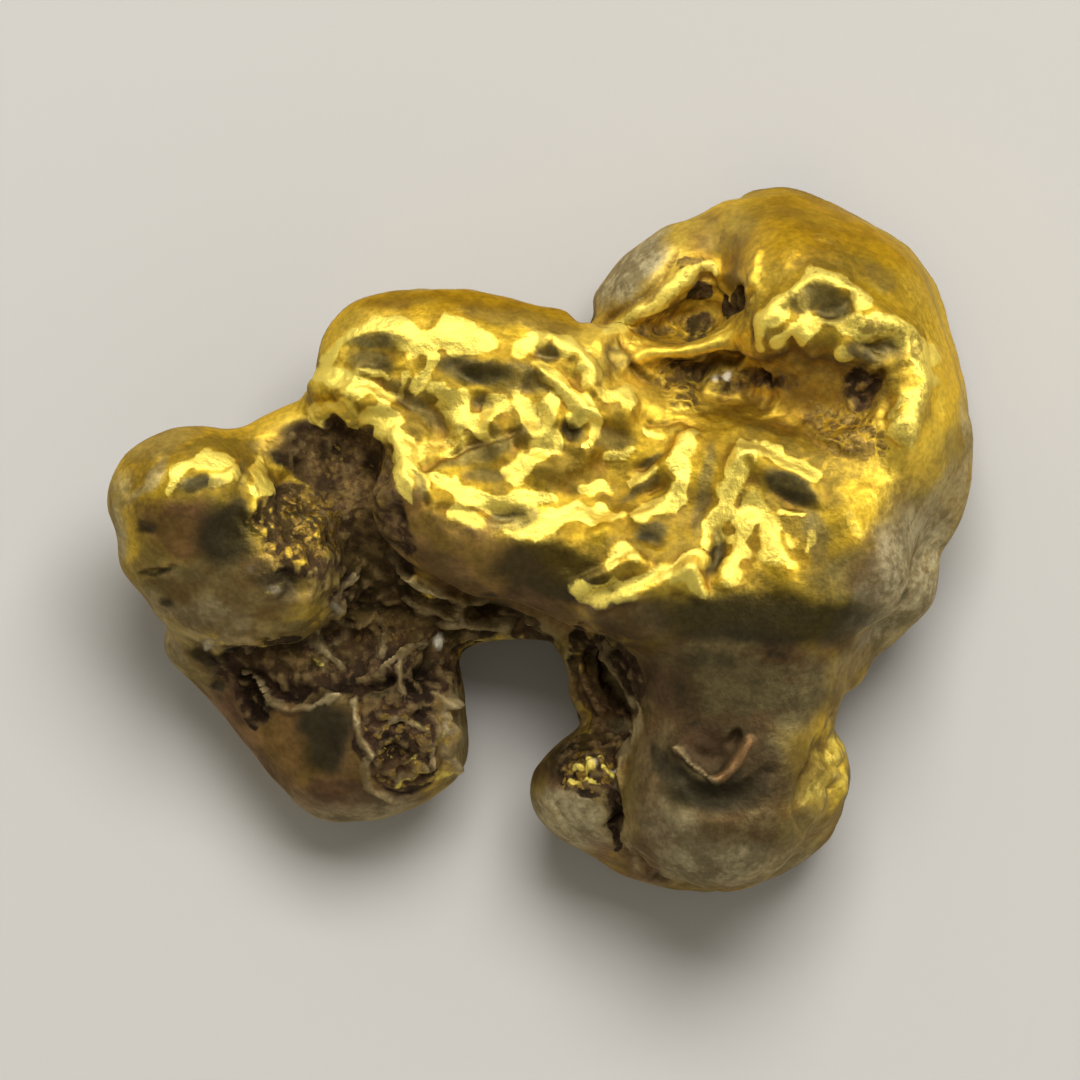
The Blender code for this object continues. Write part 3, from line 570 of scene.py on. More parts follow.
# satin ochre painted as shade round the highlights, and painted highlights: the bright pale streaks and beads that
# break it up
PAINTED_OCHRE_SHADE = [(470, 418, 168, 108, 6, 1.0), (745, 505, 165, 92, 0, 1.0), (600, 470, 80, 90, 0, 1.0), (205, 480, 90, 48, -5, 0.9), (840, 325, 100, 78, 20, 0.9)]
PAINTED_HIGHLIGHTS = [
    # knob
    (7, 1.0, [(174, 487), (180, 472), (194, 462), (212, 458), (228, 462)]),
    (8, 1.0, [(213, 479), (226, 477), (233, 470)]),
    (14, 1.0, [(258, 473), (259, 490)]),
    (4, 0.4, [(266, 592), (284, 584)]),
    # flecks in the left leg
    (3, 0.6, [(396, 785), (412, 778), (428, 773)]), (3, 0.5, [(410, 722), (424, 731)]), (3, 0.5, [(404, 767), (414, 762)]), (4, 0.6, [(438, 777), (450, 768)]), (3, 0.5, [(437, 716), (440, 744)]), (3, 0.4, [(449, 718), (454, 742)]), (3, 0.5, [(384, 752), (390, 760)]), (3, 0.5, [(386, 728), (380, 738)]), (3, 0.5, [(310, 655), (322, 662)]), (3, 0.4, [(330, 672), (340, 664)]),
    # hump
    (6, 1.0, [(327, 362), (338, 345), (352, 334), (370, 327)]),
    (10, 1.0, [(372, 326), (392, 325), (412, 328)]),
    (18, 1.0, [(412, 336), (440, 337), (478, 344)]),
    (8, 1.0, [(440, 358), (425, 376), (420, 388)]),
    (10, 1.0, [(326, 376), (345, 380), (368, 390), (384, 398)]),
    (8, 1.0, [(320, 412), (336, 405), (350, 410), (356, 420)]),
    (9, 1.0, [(372, 412), (392, 428), (408, 446), (415, 464), (425, 482)]),
    (6, 0.8, [(398, 458), (405, 480), (412, 500)]),
    (11, 0.6, [(424, 455), (445, 450), (456, 444)]),
    (12, 1.0, [(446, 392), (456, 396), (460, 412), (463, 426)]),
    (12, 1.0, [(500, 402), (494, 416), (486, 428)]),
    (6, 0.8, [(514, 394), (526, 412), (532, 428)]),
    (10, 1.0, [(552, 400), (544, 414), (538, 432)]),
    (11, 1.0, [(547, 368), (558, 384), (574, 398), (586, 404)]),
    (9, 0.8, [(518, 350), (532, 340), (546, 334)]),
    (10, 1.0, [(558, 340), (578, 354), (590, 374)]),
    (6, 1.0, [(572, 422), (586, 416), (595, 425), (590, 440), (580, 446)]),
    (8, 1.0, [(606, 394), (620, 391), (632, 400)]),
    (11, 1.0, [(552, 444), (540, 452), (524, 468), (512, 474)]),
    (5, 0.8, [(355, 376), (368, 372), (386, 380)]),
    (5, 0.7, [(404, 376), (402, 392)]),
    # lip
    (9, 1.0, [(425, 476), (446, 486), (472, 496), (502, 503), (530, 500), (552, 498)]),
    (14, 1.0, [(516, 528), (550, 516), (582, 512), (608, 517)]),
    (8, 0.7, [(456, 512), (480, 522)]),
    (7, 0.8, [(584, 488), (602, 487)]),
    # body
    (5, 1.0, [(612, 456), (630, 450)]),
    (8, 1.0, [(630, 483), (642, 480), (656, 474)]),
    (9, 1.0, [(638, 520), (650, 510), (674, 504)]),
    (9, 1.0, [(692, 438), (682, 458), (682, 480), (674, 500)]),
    (5, 0.8, [(644, 430), (662, 436)]),
    (8, 0.9, [(612, 562), (624, 552), (636, 560)]),
    (13, 0.8, [(582, 588), (604, 593), (626, 588)]),
    (13, 0.9, [(626, 586), (650, 578), (676, 572), (694, 562)]),
    (9, 0.9, [(688, 576), (698, 592)]),
    (11, 1.0, [(746, 450), (736, 475), (728, 500), (714, 525), (703, 548)]),
    (12, 1.0, [(745, 506), (741, 530), (736, 555), (727, 572)]),
    (9, 1.0, [(742, 448), (762, 455), (790, 465), (814, 475)]),
    (6, 0.9, [(784, 509), (802, 514)]),
    (5, 0.8, [(810, 538), (803, 552)]),
    (9, 0.75, [(754, 498), (764, 528)]),
    (16, 0.75, [(764, 528), (778, 556)]),
    (16, 0.35, [(832, 472), (858, 474), (884, 472)]),
    (15, 0.35, [(850, 494), (866, 500)]),
    (8, 0.5, [(850, 520), (858, 530)]),
    # right foot lobe and the rim of the small lobe
    (11, 0.55, [(836, 742), (830, 760), (838, 778)]),
    (9, 0.5, [(820, 782), (812, 800)]),
    (6, 0.45, [(838, 792), (830, 806)]),
    (7, 0.9, [(604, 338), (634, 320), (660, 302), (682, 282), (694, 270), (712, 271)]),
    # beads in the pits
    (5, 0.9, [(590, 758), (594, 766), (588, 772)]), (4, 0.9, [(574, 768), (582, 770)]), (4, 0.8, [(606, 766), (614, 770)]), (4, 0.7, [(584, 782), (598, 780)]), (3, 0.8, [(566, 780), (572, 784)]), (3, 0.8, [(602, 752), (608, 756)]),
    # arch
    (7, 1.0, [(760, 342), (766, 322), (776, 304), (792, 290), (806, 284)]),
    (8, 1.0, [(806, 284), (830, 284), (850, 294), (862, 310)]),
    (8, 1.0, [(806, 322), (812, 332), (802, 338)]),
    (5, 0.9, [(822, 318), (834, 322)]),
    (7, 1.0, [(840, 344), (850, 352)]),
    (5, 0.9, [(884, 414), (894, 402)]),
    (5, 0.9, [(888, 432), (898, 440)]),
    (6, 1.0, [(776, 320), (784, 310)]),
    (7, 1.0, [(776, 338), (790, 326), (798, 330)]),
    (9, 1.0, [(842, 326), (866, 328), (892, 336), (912, 350)]),
    (13, 1.0, [(918, 356), (922, 378), (912, 402), (902, 430)]),
    (6, 0.8, [(800, 300), (812, 316)]),
    (18, 0.4, [(922, 412), (932, 436), (918, 462)]),
    (6, 0.35, [(118, 486), (115, 516), (120, 544)]),
]


# painted highlights: full strength along each streak, fading off to its sides
def painted_highlight(u, v):
    m = np.zeros(u.shape)
    flat = np.stack([u, v, 0 * u], 1)
    wide = np.clip(1.0 + 0.7 * noise(flat, 12, 91), 0.6, 1.35)
    for half, strength, points in PAINTED_HIGHLIGHTS:
        m = np.maximum(m, strength * np.clip(1.0 * (1.38 - (line_distance(u, v, points) / (half * wide)) ** 2), 0, 1))
    return m


CLEAN = [(728, 255, 44, 56, 0, 1.0), (805, 385, 80, 44, 8, 0.85), (690, 312, 62, 36, -20, 0.85), (700, 378, 90, 24, 6, 0.85), (665, 375, 50, 24, 0, 0.9), (600, 345, 30, 20, 0, 0.8), (850, 440, 60, 30, 10, 0.7)]


def zone(u, v, rows):
    m = np.zeros(u.shape)
    for cu, cv, ru, rv, turn, s in rows:
        a = np.radians(turn)
        x, y = u - cu, v - cv
        q = np.sqrt(((x * np.cos(a) + y * np.sin(a)) / ru) ** 2 + ((y * np.cos(a) - x * np.sin(a)) / rv) ** 2)
        m = np.maximum(m, s * (1 - smoothstep(0.6, 1.25, q)))
    return m



# ---------------------------------------------------------------- the surface
def blur(a, r, axis):
    """Box average over 2r+1 cells along one axis."""
    pad = [(0, 0)] * 3
    pad[axis] = (r + 1, r)
    c = np.cumsum(np.pad(a, pad, mode="edge"), axis=axis, dtype=np.float64)
    n = a.shape[axis]
    hi = [slice(None)] * 3
    lo = [slice(None)] * 3
    hi[axis] = slice(2 * r + 1, 2 * r + 1 + n)
    lo[axis] = slice(0, n)
    return ((c[tuple(hi)] - c[tuple(lo)]) / (2 * r + 1)).astype(np.float32)


def sample(block, axes, p):
    """Values of a block at points, by linear interpolation."""
    step = axes[0][1] - axes[0][0]
    q = (p - np.array([a[0] for a in axes])) / step
    q = np.clip(q, 0, np.array(block.shape) - 1.001)
    c = q.astype(int)
    f = q - c
    out = 0
    for a in (0, 1):
        for b in (0, 1):
            for d in (0, 1):
                w = (f[:, 0] if a else 1 - f[:, 0]) * (f[:, 1] if b else 1 - f[:, 1]) * (f[:, 2] if d else 1 - f[:, 2])
                out = out + w * block[c[:, 0] + a, c[:, 1] + b, c[:, 2] + d]
    return out


def normals_of(p, quads):
    e = np.cross(p[quads[:, 2]] - p[quads[:, 0]], p[quads[:, 3]] - p[quads[:, 1]])
    n = np.zeros_like(p)
    for i in range(4):
        np.add.at(n, quads[:, i], e)
    return n / (np.linalg.norm(n, axis=1, keepdims=True) + 1e-12)


def neighbours_mean(values, edges, passes, weight=0.5):
    count = np.bincount(edges.ravel(), minlength=len(values)).astype(float)
    v = values.astype(float)
    shape = (-1,) + (1,) * (v.ndim - 1)
    for _ in range(passes):
        s = np.zeros_like(v)
        np.add.at(s, edges[:, 0], v[edges[:, 1]])
        np.add.at(s, edges[:, 1], v[edges[:, 0]])
        v = v * (1 - weight) + weight * s / count.reshape(shape)
    return v


def edges_of(quads):
    e = np.concatenate([quads[:, [0, 1]], quads[:, [1, 2]], quads[:, [2, 3]], quads[:, [3, 0]]])
    e.sort(axis=1)
    return np.unique(e, axis=0)


clay = build(STEP)
points, quads = surface_net(clay.f, clay.axes)
# u, v, w is left handed: turn v round, and the faces with it
if ((points[quads[:, 0]] * np.cross(points[quads[:, 1]], points[quads[:, 2]])).sum() > 0):
    quads = quads[:, ::-1]
edges = edges_of(quads)
points = neighbours_mean(points, edges, 2)
inside = (clay.f < 0).astype(np.float32)
wide = inside
for r in (7, 7):
    for axis in range(3):
        wide = blur(wide, r, axis)
hollow = (sample(wide, clay.axes, points) - 0.5) * 2


def flipped(p):
    return p * np.array([1, -1, 1])


n = normals_of(flipped(points), quads)
if (n * (flipped(points) - flipped(points).mean(0))).sum() < 0:
    quads = quads[:, ::-1]
    n = -n
u, v, w = points.T
top = smoothstep(0.0, 0.35, n[:, 2])
wob = points[:, :2] + 4.5 * np.stack([noise(points, 26, 31), noise(points, 26, 32)], 1) + 2.2 * np.stack([noise(points, 11, 33), noise(points, 11, 34)], 1)
lumpy = zone(u, v, LUMPY) * top
dirty = np.clip(zone(wob[:, 0], wob[:, 1], DIRT) * (1 - 0.8 * clean(wob[:, 0], wob[:, 1])) * top + 0.4 * smoothstep(0.1, 0.4, hollow) * (1 - top), 0, 1)
h = relief(wob[:, 0], wob[:, 1]) * top
h = h + 1.8 * noise(points, 60, 1) + 0.8 * noise(points, 22, 5)
h = h + (1 - top) * (3.2 * noise(points, 70, 6) + 1.8 * noise(points, 30, 7))
h = h + zone(u, v, KNOTTY) * top * (4.0 * noise(points, 42, 44) + 2.0 * noise(points, 22, 45))
h = h + lumpy * (2.2 * (0.35 - np.abs(noise(points, 34, 41))) + 2.8 * noise(points, 18, 42) + 1.1 * noise(points, 10, 43))
f1, f2 = grains(points, 21, 51)
h = h + dirty * (8.0 * noise(points, 26, 52) + 8.0 * (0.5 - f1) + 3.0 * noise(points, 11, 53) - 3.0)
f1, f2 = grains(points, 12, 54)
h = h + dirty * (5.0 * (0.5 - f1) + 2.5 * noise(points, 7, 55))
points = points + h[:, None] * flipped(n)
points[:, 2] = np.maximum(points[:, 2], 0)
n = normals_of(flipped(points), quads)

co = np.stack([(points[:, 0] - MIDDLE[0]) * UNIT, (MIDDLE[1] - points[:, 1]) * UNIT, points[:, 2] * UNIT], 1)
mesh = bpy.data.meshes.new("nugget_skin")
mesh.vertices.add(len(co))
mesh.vertices.foreach_set("co", co.ravel())
mesh.loops.add(quads.size)
mesh.loops.foreach_set("vertex_index", quads.ravel().astype(np.int32))
mesh.polygons.add(len(quads))
mesh.polygons.foreach_set("loop_start", np.arange(0, quads.size, 4, dtype=np.int32))
mesh.update(calc_edges=True)
mesh.validate()



def attribute(name, values):
    a = mesh.attributes.new(name, "FLOAT", "POINT")
    a.data.foreach_set("value", np.asarray(values, np.float32))


up = smoothstep(-0.05, 0.25, n[:, 2])
zu = points[:, 0] + 9 * noise(points, 34, 11) + 4 * noise(points, 12, 13)
zv = points[:, 1] + 9 * noise(points, 34, 12) + 4 * noise(points, 12, 14)
under = 1 - up
# worn edges stand proud of the smoothed surface, and creases lie under it
proud = ((points - neighbours_mean(points, edges, 14)) * flipped(n)).sum(1)
worn, painted_crease_shade = smoothstep(0.4, 1.8, proud), smoothstep(0.35, 1.7, -proud)
hollow = hollow * (1 - zone(u, v, CLEAN) * up)
attribute("hollow", hollow)
# painted shade: creases are darkened to brown in the gold
attribute("painted_crease_shade", painted_crease_shade)
attribute("worn", worn)
attribute("ash", zone(zu, zv, ASH) * up)
# painted highlights, only on faces that look up
painted_highlight_mask = painted_highlight(wob[:, 0], wob[:, 1]) * up
attribute("painted_highlight", painted_highlight_mask)
# painted shade: the ochre zones less the painted highlights
attribute("painted_ochre_shade", zone(zu, zv, PAINTED_OCHRE_SHADE) * (1 - painted_highlight_mask) * up)
attribute("open", zone(zu, zv, CLEAN) * up)
attribute("painted_highlight_lace", zone(zu, zv, PAINTED_HIGHLIGHT_LACE) * painted_highlight_mask)
attribute("earth_and_painted_light", zone(zu, zv, EARTH_AND_PAINTED_LIGHT) * up)
# painted shade: dim grey-green patches
attribute("painted_dim_reflection", zone(wob[:, 0], wob[:, 1], PAINTED_DIM_REFLECTION) * up)
# painted shade: steep sides turned away from the lights, and the sides and underside, are tinted tan, with red-brown
# and near-black patches on them
side = smoothstep(0.66, 0.25, n[:, 2]) * smoothstep(0.7, 0.1, n[:, 1]) * (1 - zone(u, v, [(925, 400, 70, 120, 0, 1.0)]))
attribute("tan", np.clip(np.maximum(zone(zu, zv, TAN), 0.85 * side) * up + under * (0.75 + 0.25 * noise(points, 90, 21)), 0, 1))
# red-brown stain and painted reflection; its patches on the sides and underside are painted shade
attribute("red_stain_and_reflection", np.clip(zone(zu, zv, RED_STAIN_AND_REFLECTION) * up + under * 0.6 * smoothstep(0.1, 0.6, noise(points, 110, 22)), 0, 1))
# painted shade: near-black in the zones, and in patches on the sides and underside
attribute("painted_shade", np.clip(zone(zu, zv, PAINTED_SHADE) * up + under * 0.5 * smoothstep(0.1, 0.7, noise(points, 120, 23)), 0, 1))
attribute("dirt", np.clip(zone(zu, zv, DIRT) * up * (1 - 0.45 * worn) + under * smoothstep(0.0, 0.35, hollow), 0, 1))
# painted shade in orange
attribute("painted_orange_shade", zone(zu, zv, PAINTED_ORANGE_SHADE) * up)
attribute("grit", np.maximum(zone(zu, zv, GRIT) * up, under * 0.35))
attribute("pale", clean(wob[:, 0], wob[:, 1]) * up)
copper = np.zeros(len(points))
for line in COPPER:
    copper = np.maximum(copper, np.clip(1.2 * (1 - (line_distance(wob[:, 0], wob[:, 1], line) / 7) ** 2), 0, 1))
attribute("copper", copper * up)
# painted glints
painted_glint = np.zeros(len(points))
for su, sv, ru, rv, strength in PAINTED_GLINTS:
    painted_glint = np.maximum(painted_glint, strength * np.clip(1.4 * (1 - ((u - su) / ru) ** 2 - ((v - sv) / rv) ** 2), 0, 1))
attribute("painted_glint", painted_glint * up)
nugget = bpy.data.objects.new("nugget_skin", mesh)
bpy.context.scene.collection.objects.link(nugget)

# the underside and the smooth parts need fewer faces than the rough side that faces up
busy = np.maximum.reduce([lumpy, dirty, zone(u, v, GRIT), zone(u, v, BUSY)])
low_side = n[:, 2] < 0.10
smooth_side = (busy < 0.25) & ~low_side
share = [low_side[quads[:, 0]].mean(), smooth_side[quads[:, 0]].mean()]
total = 2 * len(quads)
after = []
left = total
for share_now, keep in zip(share, KEEP):
    left -= total * share_now * (1 - keep)
    after.append(left)
for name, mask, ratio in (("under", low_side, after[0] / total), ("plain", smooth_side, after[1] / after[0])):
    group = nugget.vertex_groups.new(name=name)
    group.add(np.flatnonzero(mask).tolist(), 1.0, "REPLACE")
    thin = nugget.modifiers.new(name, "DECIMATE")
    thin.vertex_group = name
    thin.ratio = ratio
bpy.context.view_layer.update()
fine_mesh = bpy.data.meshes.new_from_object(nugget.evaluated_get(bpy.context.evaluated_depsgraph_get()))
nugget.modifiers.clear()
nugget.vertex_groups.clear()
nugget.data = fine_mesh
bpy.data.meshes.remove(mesh)
mesh = fine_mesh
mesh.shade_smooth()
faces = sum(len(p.vertices) - 2 for p in mesh.polygons)
print("SKIN", total, [round(float(x), 3) for x in share], faces)
assert faces < 199000, faces


# ---------------------------------------------------------------- native gold
class Nodes:
    def __init__(self, mat):
        mat.use_nodes = True
        self.tree = mat.node_tree
        self.shader = self.tree.nodes["Principled BSDF"]

    def new(self, kind, **settings):
        node = self.tree.nodes.new(kind)
        for key, value in settings.items():
            setattr(node, key, value)
        return node

    def put(self, socket, value):
        if isinstance(value, (int, float, tuple)):
            socket.default_value = value
        else:
            self.tree.links.new(value, socket)

    def attribute(self, name):
        node = self.new("ShaderNodeAttribute", attribute_name=name)
        return node.outputs["Fac"]

    def math(self, operation, a, b=0.0, c=None, clamp=False):
        node = self.new("ShaderNodeMath", operation=operation, use_clamp=clamp)
        self.put(node.inputs[0], a)
        self.put(node.inputs[1], b)
        if c is not None:
            self.put(node.inputs[2], c)
        return node.outputs[0]

    def mix(self, fac, a, b):
        node = self.new("ShaderNodeMix", data_type="RGBA")
        self.put(node.inputs[0], fac)
        self.put(node.inputs[6], a)
        self.put(node.inputs[7], b)
        return node.outputs[2]

    def scale(self, colour, factor):
        node = self.new("ShaderNodeVectorMath", operation="SCALE")
        self.put(node.inputs[0], colour)
        self.put(node.inputs["Scale"], factor)
        return node.outputs[0]

    def noise(self, scale, detail=3.0, rough=0.55):
        node = self.new("ShaderNodeTexNoise")
        self.put(node.inputs["Vector"], self.coords)
        node.inputs["Scale"].default_value = scale
        node.inputs["Detail"].default_value = detail
        node.inputs["Roughness"].default_value = rough
        return node.outputs["Fac"]

    def range(self, value, a, b, lo=0.0, hi=1.0):
        node = self.new("ShaderNodeMapRange", interpolation_type="SMOOTHSTEP")
        self.put(node.inputs[0], value)
        for i, t in zip((1, 2, 3, 4), (a, b, lo, hi)):
            node.inputs[i].default_value = t
        return node.outputs[0]


mat = bpy.data.materials.new("native_gold")
m = Nodes(mat)
coord = m.new("ShaderNodeTexCoord")
m.coords = coord.outputs["Object"]
broad = m.noise(260.0, 3.0)       # lumps of about 4 mm
spots = m.noise(900.0, 4.0)       # about 1 mm
fine = m.noise(4200.0, 4.0, 0.6)  # about 0.2 mm
grainy = m.noise(5200.0, 3.0, 0.6)  # sand-blasted skin, 0.15 mm
a_hollow, a_tan, a_red_stain_and_reflection, a_painted_shade, a_dirt, a_painted_orange_shade = [m.attribute(t) for t in ("hollow", "tan", "red_stain_and_reflection", "painted_shade", "dirt", "painted_orange_shade")]
a_grit, a_pale, a_copper, a_painted_glint = [m.attribute(t) for t in ("grit", "pale", "copper", "painted_glint")]
a_painted_crease_shade, a_worn, a_ash, a_painted_dim_reflection, a_painted_ochre_shade, a_painted_highlight, a_open, a_painted_highlight_lace, a_earth_and_painted_light = [m.attribute(t) for t in ("painted_crease_shade", "worn", "ash", "painted_dim_reflection", "painted_ochre_shade", "painted_highlight", "open", "painted_highlight_lace", "earth_and_painted_light")]
bent = m.new("ShaderNodeMix", data_type="VECTOR")
bent.inputs[0].default_value = 0.0004
m.put(bent.inputs[4], m.coords)
stir = m.new("ShaderNodeTexNoise")
m.put(stir.inputs["Vector"], m.coords)
stir.inputs["Scale"].default_value = 2500.0
m.put(bent.inputs[5], stir.outputs["Color"])
cell = m.new("ShaderNodeTexVoronoi", feature="F1")
m.put(cell.inputs["Vector"], bent.outputs[1])
cell.inputs["Scale"].default_value = 3300.0
cells = cell.outputs["Distance"]   # 0 in the middle of a granule
gold = m.mix(m.range(broad, 0.35, 0.68), (0.88, 0.62, 0.075, 1), (0.80, 0.53, 0.06, 1))
# painted shade: darker, mottled orange gold
gold = m.mix(a_painted_orange_shade, gold, m.mix(m.range(spots, 0.4, 0.62), (0.62, 0.37, 0.024, 1), (0.38, 0.21, 0.018, 1)))
blotch = m.noise(520.0, 4.0, 0.62)  # about 2 mm, ragged
tan_colour = m.mix(m.range(spots, 0.38, 0.62), (0.27, 0.205, 0.085, 1), (0.15, 0.115, 0.05, 1))
tan_colour = m.mix(m.range(blotch, 0.44, 0.60), tan_colour, (0.15, 0.085, 0.034, 1))
tan_colour = m.mix(m.range(blotch, 0.58, 0.70), tan_colour, (0.05, 0.036, 0.02, 1))
tan_colour = m.mix(m.range(broad, 0.45, 0.62), tan_colour, m.mix(0.5, tan_colour, (0.11, 0.07, 0.03, 1)))
# painted shade: darker satin ochre round the painted highlights
painted_ochre_shade = m.range(m.math("ADD", a_painted_ochre_shade, m.math("MULTIPLY", m.math("SUBTRACT", fine, 0.5), 1.3)), 0.10, 0.85)
gold = m.mix(m.math("MULTIPLY", painted_ochre_shade, 0.9), gold, m.mix(m.range(blotch, 0.40, 0.60), m.mix(m.range(spots, 0.4, 0.62), (0.52, 0.34, 0.024, 1), (0.38, 0.235, 0.020, 1)), (0.25, 0.17, 0.028, 1)))
# painted shade: brown in the creases
gold = m.mix(m.math("MULTIPLY", a_painted_crease_shade, 0.75), gold, (0.30, 0.16, 0.025, 1))
# painted shade: dim grey-green patches for dark reflections
gold = m.mix(m.math("MULTIPLY", a_painted_dim_reflection, m.range(fine, 0.35, 0.55, 0.95, 0.75)), gold, m.mix(m.range(spots, 0.4, 0.6), (0.20, 0.165, 0.065, 1), (0.11, 0.095, 0.045, 1)))
colour = m.mix(a_tan, gold, tan_colour)
colour = m.mix(m.math("MULTIPLY", a_ash, 0.9), colour, m.mix(m.range(m.math("ADD", m.math("MULTIPLY", spots, 0.6), m.math("MULTIPLY", fine, 0.4)), 0.42, 0.58), (0.52, 0.45, 0.26, 1), (0.24, 0.195, 0.105, 1)))
colour = m.mix(m.math("MULTIPLY", m.math("MULTIPLY", a_worn, 0.5), m.math("MAXIMUM", a_tan, a_red_stain_and_reflection)), colour, (0.38, 0.28, 0.12, 1))
# red-brown: stain, and painted reflection under the highlights
colour = m.mix(m.math("MULTIPLY", a_red_stain_and_reflection, 0.9), colour, m.mix(m.range(spots, 0.36, 0.62), (0.20, 0.097, 0.043, 1), (0.09, 0.044, 0.021, 1)))
# painted shade: near-black
colour = m.mix(m.math("MULTIPLY", a_painted_shade, 0.95), colour, (0.030, 0.025, 0.014, 1))
# dirt sits in the hollows, and breaks up over the grain
edge = m.math("ADD", m.math("MULTIPLY", spots, 0.9), m.math("MULTIPLY", fine, 0.5))
dirty = m.math("ADD", m.math("MULTIPLY", a_dirt, 1.9), m.math("MULTIPLY", a_hollow, 0.7))
dirt = m.range(m.math("SUBTRACT", dirty, edge), -0.05, 0.35)
curl = m.new("ShaderNodeTexNoise")
m.put(curl.inputs["Vector"], m.coords)
curl.inputs["Scale"].default_value = 1900.0
curl.inputs["Detail"].default_value = 4.0
curl.inputs["Roughness"].default_value = 0.66
curl.inputs["Distortion"].default_value = 0.3
crumbs = m.range(curl.outputs["Fac"], 0.50, 0.64)
dirt_colour = m.mix(m.range(spots, 0.4, 0.62), (0.010, 0.006, 0.006, 1), (0.052, 0.028, 0.017, 1))
# paler earth, partly painted light in the shaded recesses
dirt_colour = m.mix(m.math("MULTIPLY", a_earth_and_painted_light, m.range(spots, 0.42, 0.57, 1.0, 0.15)), dirt_colour, m.mix(m.range(fine, 0.4, 0.6), (0.25, 0.16, 0.055, 1), (0.115, 0.068, 0.028, 1)))
dirt_colour = m.mix(crumbs, dirt_colour, m.mix(m.range(fine, 0.4, 0.6), (0.066, 0.036, 0.020, 1), (0.14, 0.084, 0.038, 1)))
# the dirt is darkened further under the painted shade
dirt_colour = m.scale(dirt_colour, m.math("SUBTRACT", 1.0, m.math("MULTIPLY", a_painted_shade, 0.7)))
colour = m.mix(m.math("MULTIPLY", dirt, 0.95), colour, dirt_colour)
colour = m.mix(m.math("MULTIPLY", m.math("MULTIPLY", a_worn, 0.7), dirt), colour, (0.20, 0.135, 0.055, 1))
# granules of clean gold that stand out of the dirt
grain = m.math("SUBTRACT", m.math("ADD", m.math("MULTIPLY", a_grit, 0.62), m.math("MULTIPLY", spots, 0.5)), cells)
grain = m.range(grain, 0.16, 0.30)
colour = m.mix(m.math("MULTIPLY", grain, m.math("MULTIPLY", a_grit, 1.1, clamp=True)), colour, m.mix(m.range(fine, 0.4, 0.6), (0.22, 0.135, 0.035, 1), (0.40, 0.26, 0.05, 1)))
colour = m.mix(m.math("MULTIPLY", a_pale, 0.9), colour, m.mix(m.range(spots, 0.4, 0.6), (0.46, 0.36, 0.18, 1), (0.27, 0.20, 0.09, 1)))
colour = m.mix(a_copper, colour, (0.24, 0.135, 0.055, 1))
# painted glints: near-white
colour = m.mix(a_painted_glint, colour, (0.88, 0.82, 0.64, 1))
dirt = m.math("MULTIPLY", dirt, m.math("SUBTRACT", 1.0, m.math("MAXIMUM", m.math("MAXIMUM", a_pale, a_painted_glint), m.math("MULTIPLY", grain, a_grit))))
# painted highlights: burnished-looking beads and streaks painted pale yellow and made partly matte
painted_highlight = m.range(m.math("MULTIPLY", a_painted_highlight, m.math("ADD", m.math("MULTIPLY", fine, 2.8), m.math("MULTIPLY", spots, 0.8))), 0.6, 1.5)
colour = m.scale(colour, m.range(grainy, 0.34, 0.66, 0.84, 1.12))
# the painted highlights fade under the painted dim patches
painted_highlight = m.math("MULTIPLY", painted_highlight, m.math("SUBTRACT", 1.0, m.math("MULTIPLY", a_painted_dim_reflection, 0.8)))
colour = m.mix(m.math("MULTIPLY", painted_highlight, 0.85), colour, (0.93, 0.75, 0.14, 1))
# the painted highlights broken into lace by darker spots
painted_highlight_lace = m.math("MULTIPLY", a_painted_highlight_lace, m.range(m.math("ADD", m.math("MULTIPLY", fine, 0.55), m.math("MULTIPLY", spots, 0.45)), 0.40, 0.51, 0.85, 0.0))
colour = m.mix(painted_highlight_lace, colour, (0.38, 0.265, 0.05, 1))
m.put(m.shader.inputs["Base Color"], colour)
m.put(m.shader.inputs["Specular Tint"], (0.92, 0.74, 0.40, 1))
metal = m.math("SUBTRACT", m.range(dirt, 0.2, 1.0, 1.0, 0.2), m.math("ADD", m.math("MULTIPLY", a_tan, 0.3), m.math("MULTIPLY", a_red_stain_and_reflection, 0.35)), clamp=True)
# the painted highlights and painted glints lose some metal, so their pale colour shows
metal = m.math("SUBTRACT", metal, m.math("ADD", m.math("MULTIPLY", painted_highlight, 0.22), m.math("ADD", m.math("MULTIPLY", a_painted_glint, 0.7), m.math("ADD", m.math("MULTIPLY", a_open, 0.36), m.math("MULTIPLY", a_ash, 0.35)))), clamp=True)
m.put(m.shader.inputs["Metallic"], metal)
rough = m.math("ADD", m.range(spots, 0.35, 0.65, 0.36, 0.50), m.math("MULTIPLY", a_tan, 0.16))
rough = m.math("ADD", rough, m.math("MULTIPLY", m.math("MAXIMUM", m.math("MAXIMUM", a_ash, a_painted_dim_reflection), painted_ochre_shade), 0.15))
rough = m.math("ADD", rough, m.math("MULTIPLY", dirt, 0.3))
rough = m.math("ADD", rough, m.math("MULTIPLY", a_red_stain_and_reflection, 0.12))
rough = m.math("ADD", rough, m.math("MULTIPLY", a_grit, 0.10))
m.put(m.shader.inputs["Specular IOR Level"], m.range(dirt, 0.2, 1.0, 0.5, 0.15))
m.put(m.shader.inputs["Roughness"], rough)
bump1 = m.new("ShaderNodeBump")
bump1.inputs["Strength"].default_value = 0.55
bump1.inputs["Distance"].default_value = 0.00006
height = m.math("ADD", m.math("MULTIPLY", spots, 1.0), m.math("MULTIPLY", fine, m.math("ADD", 0.9, m.math("MULTIPLY", a_painted_highlight, 0.9))))
height = m.math("ADD", height, m.math("MULTIPLY", grainy, m.math("ADD", 0.08, m.math("MULTIPLY", a_tan, 0.8))))
bumpy = m.math("ADD", m.math("MULTIPLY", a_dirt, 1.6), m.math("MULTIPLY", a_grit, 2.0))
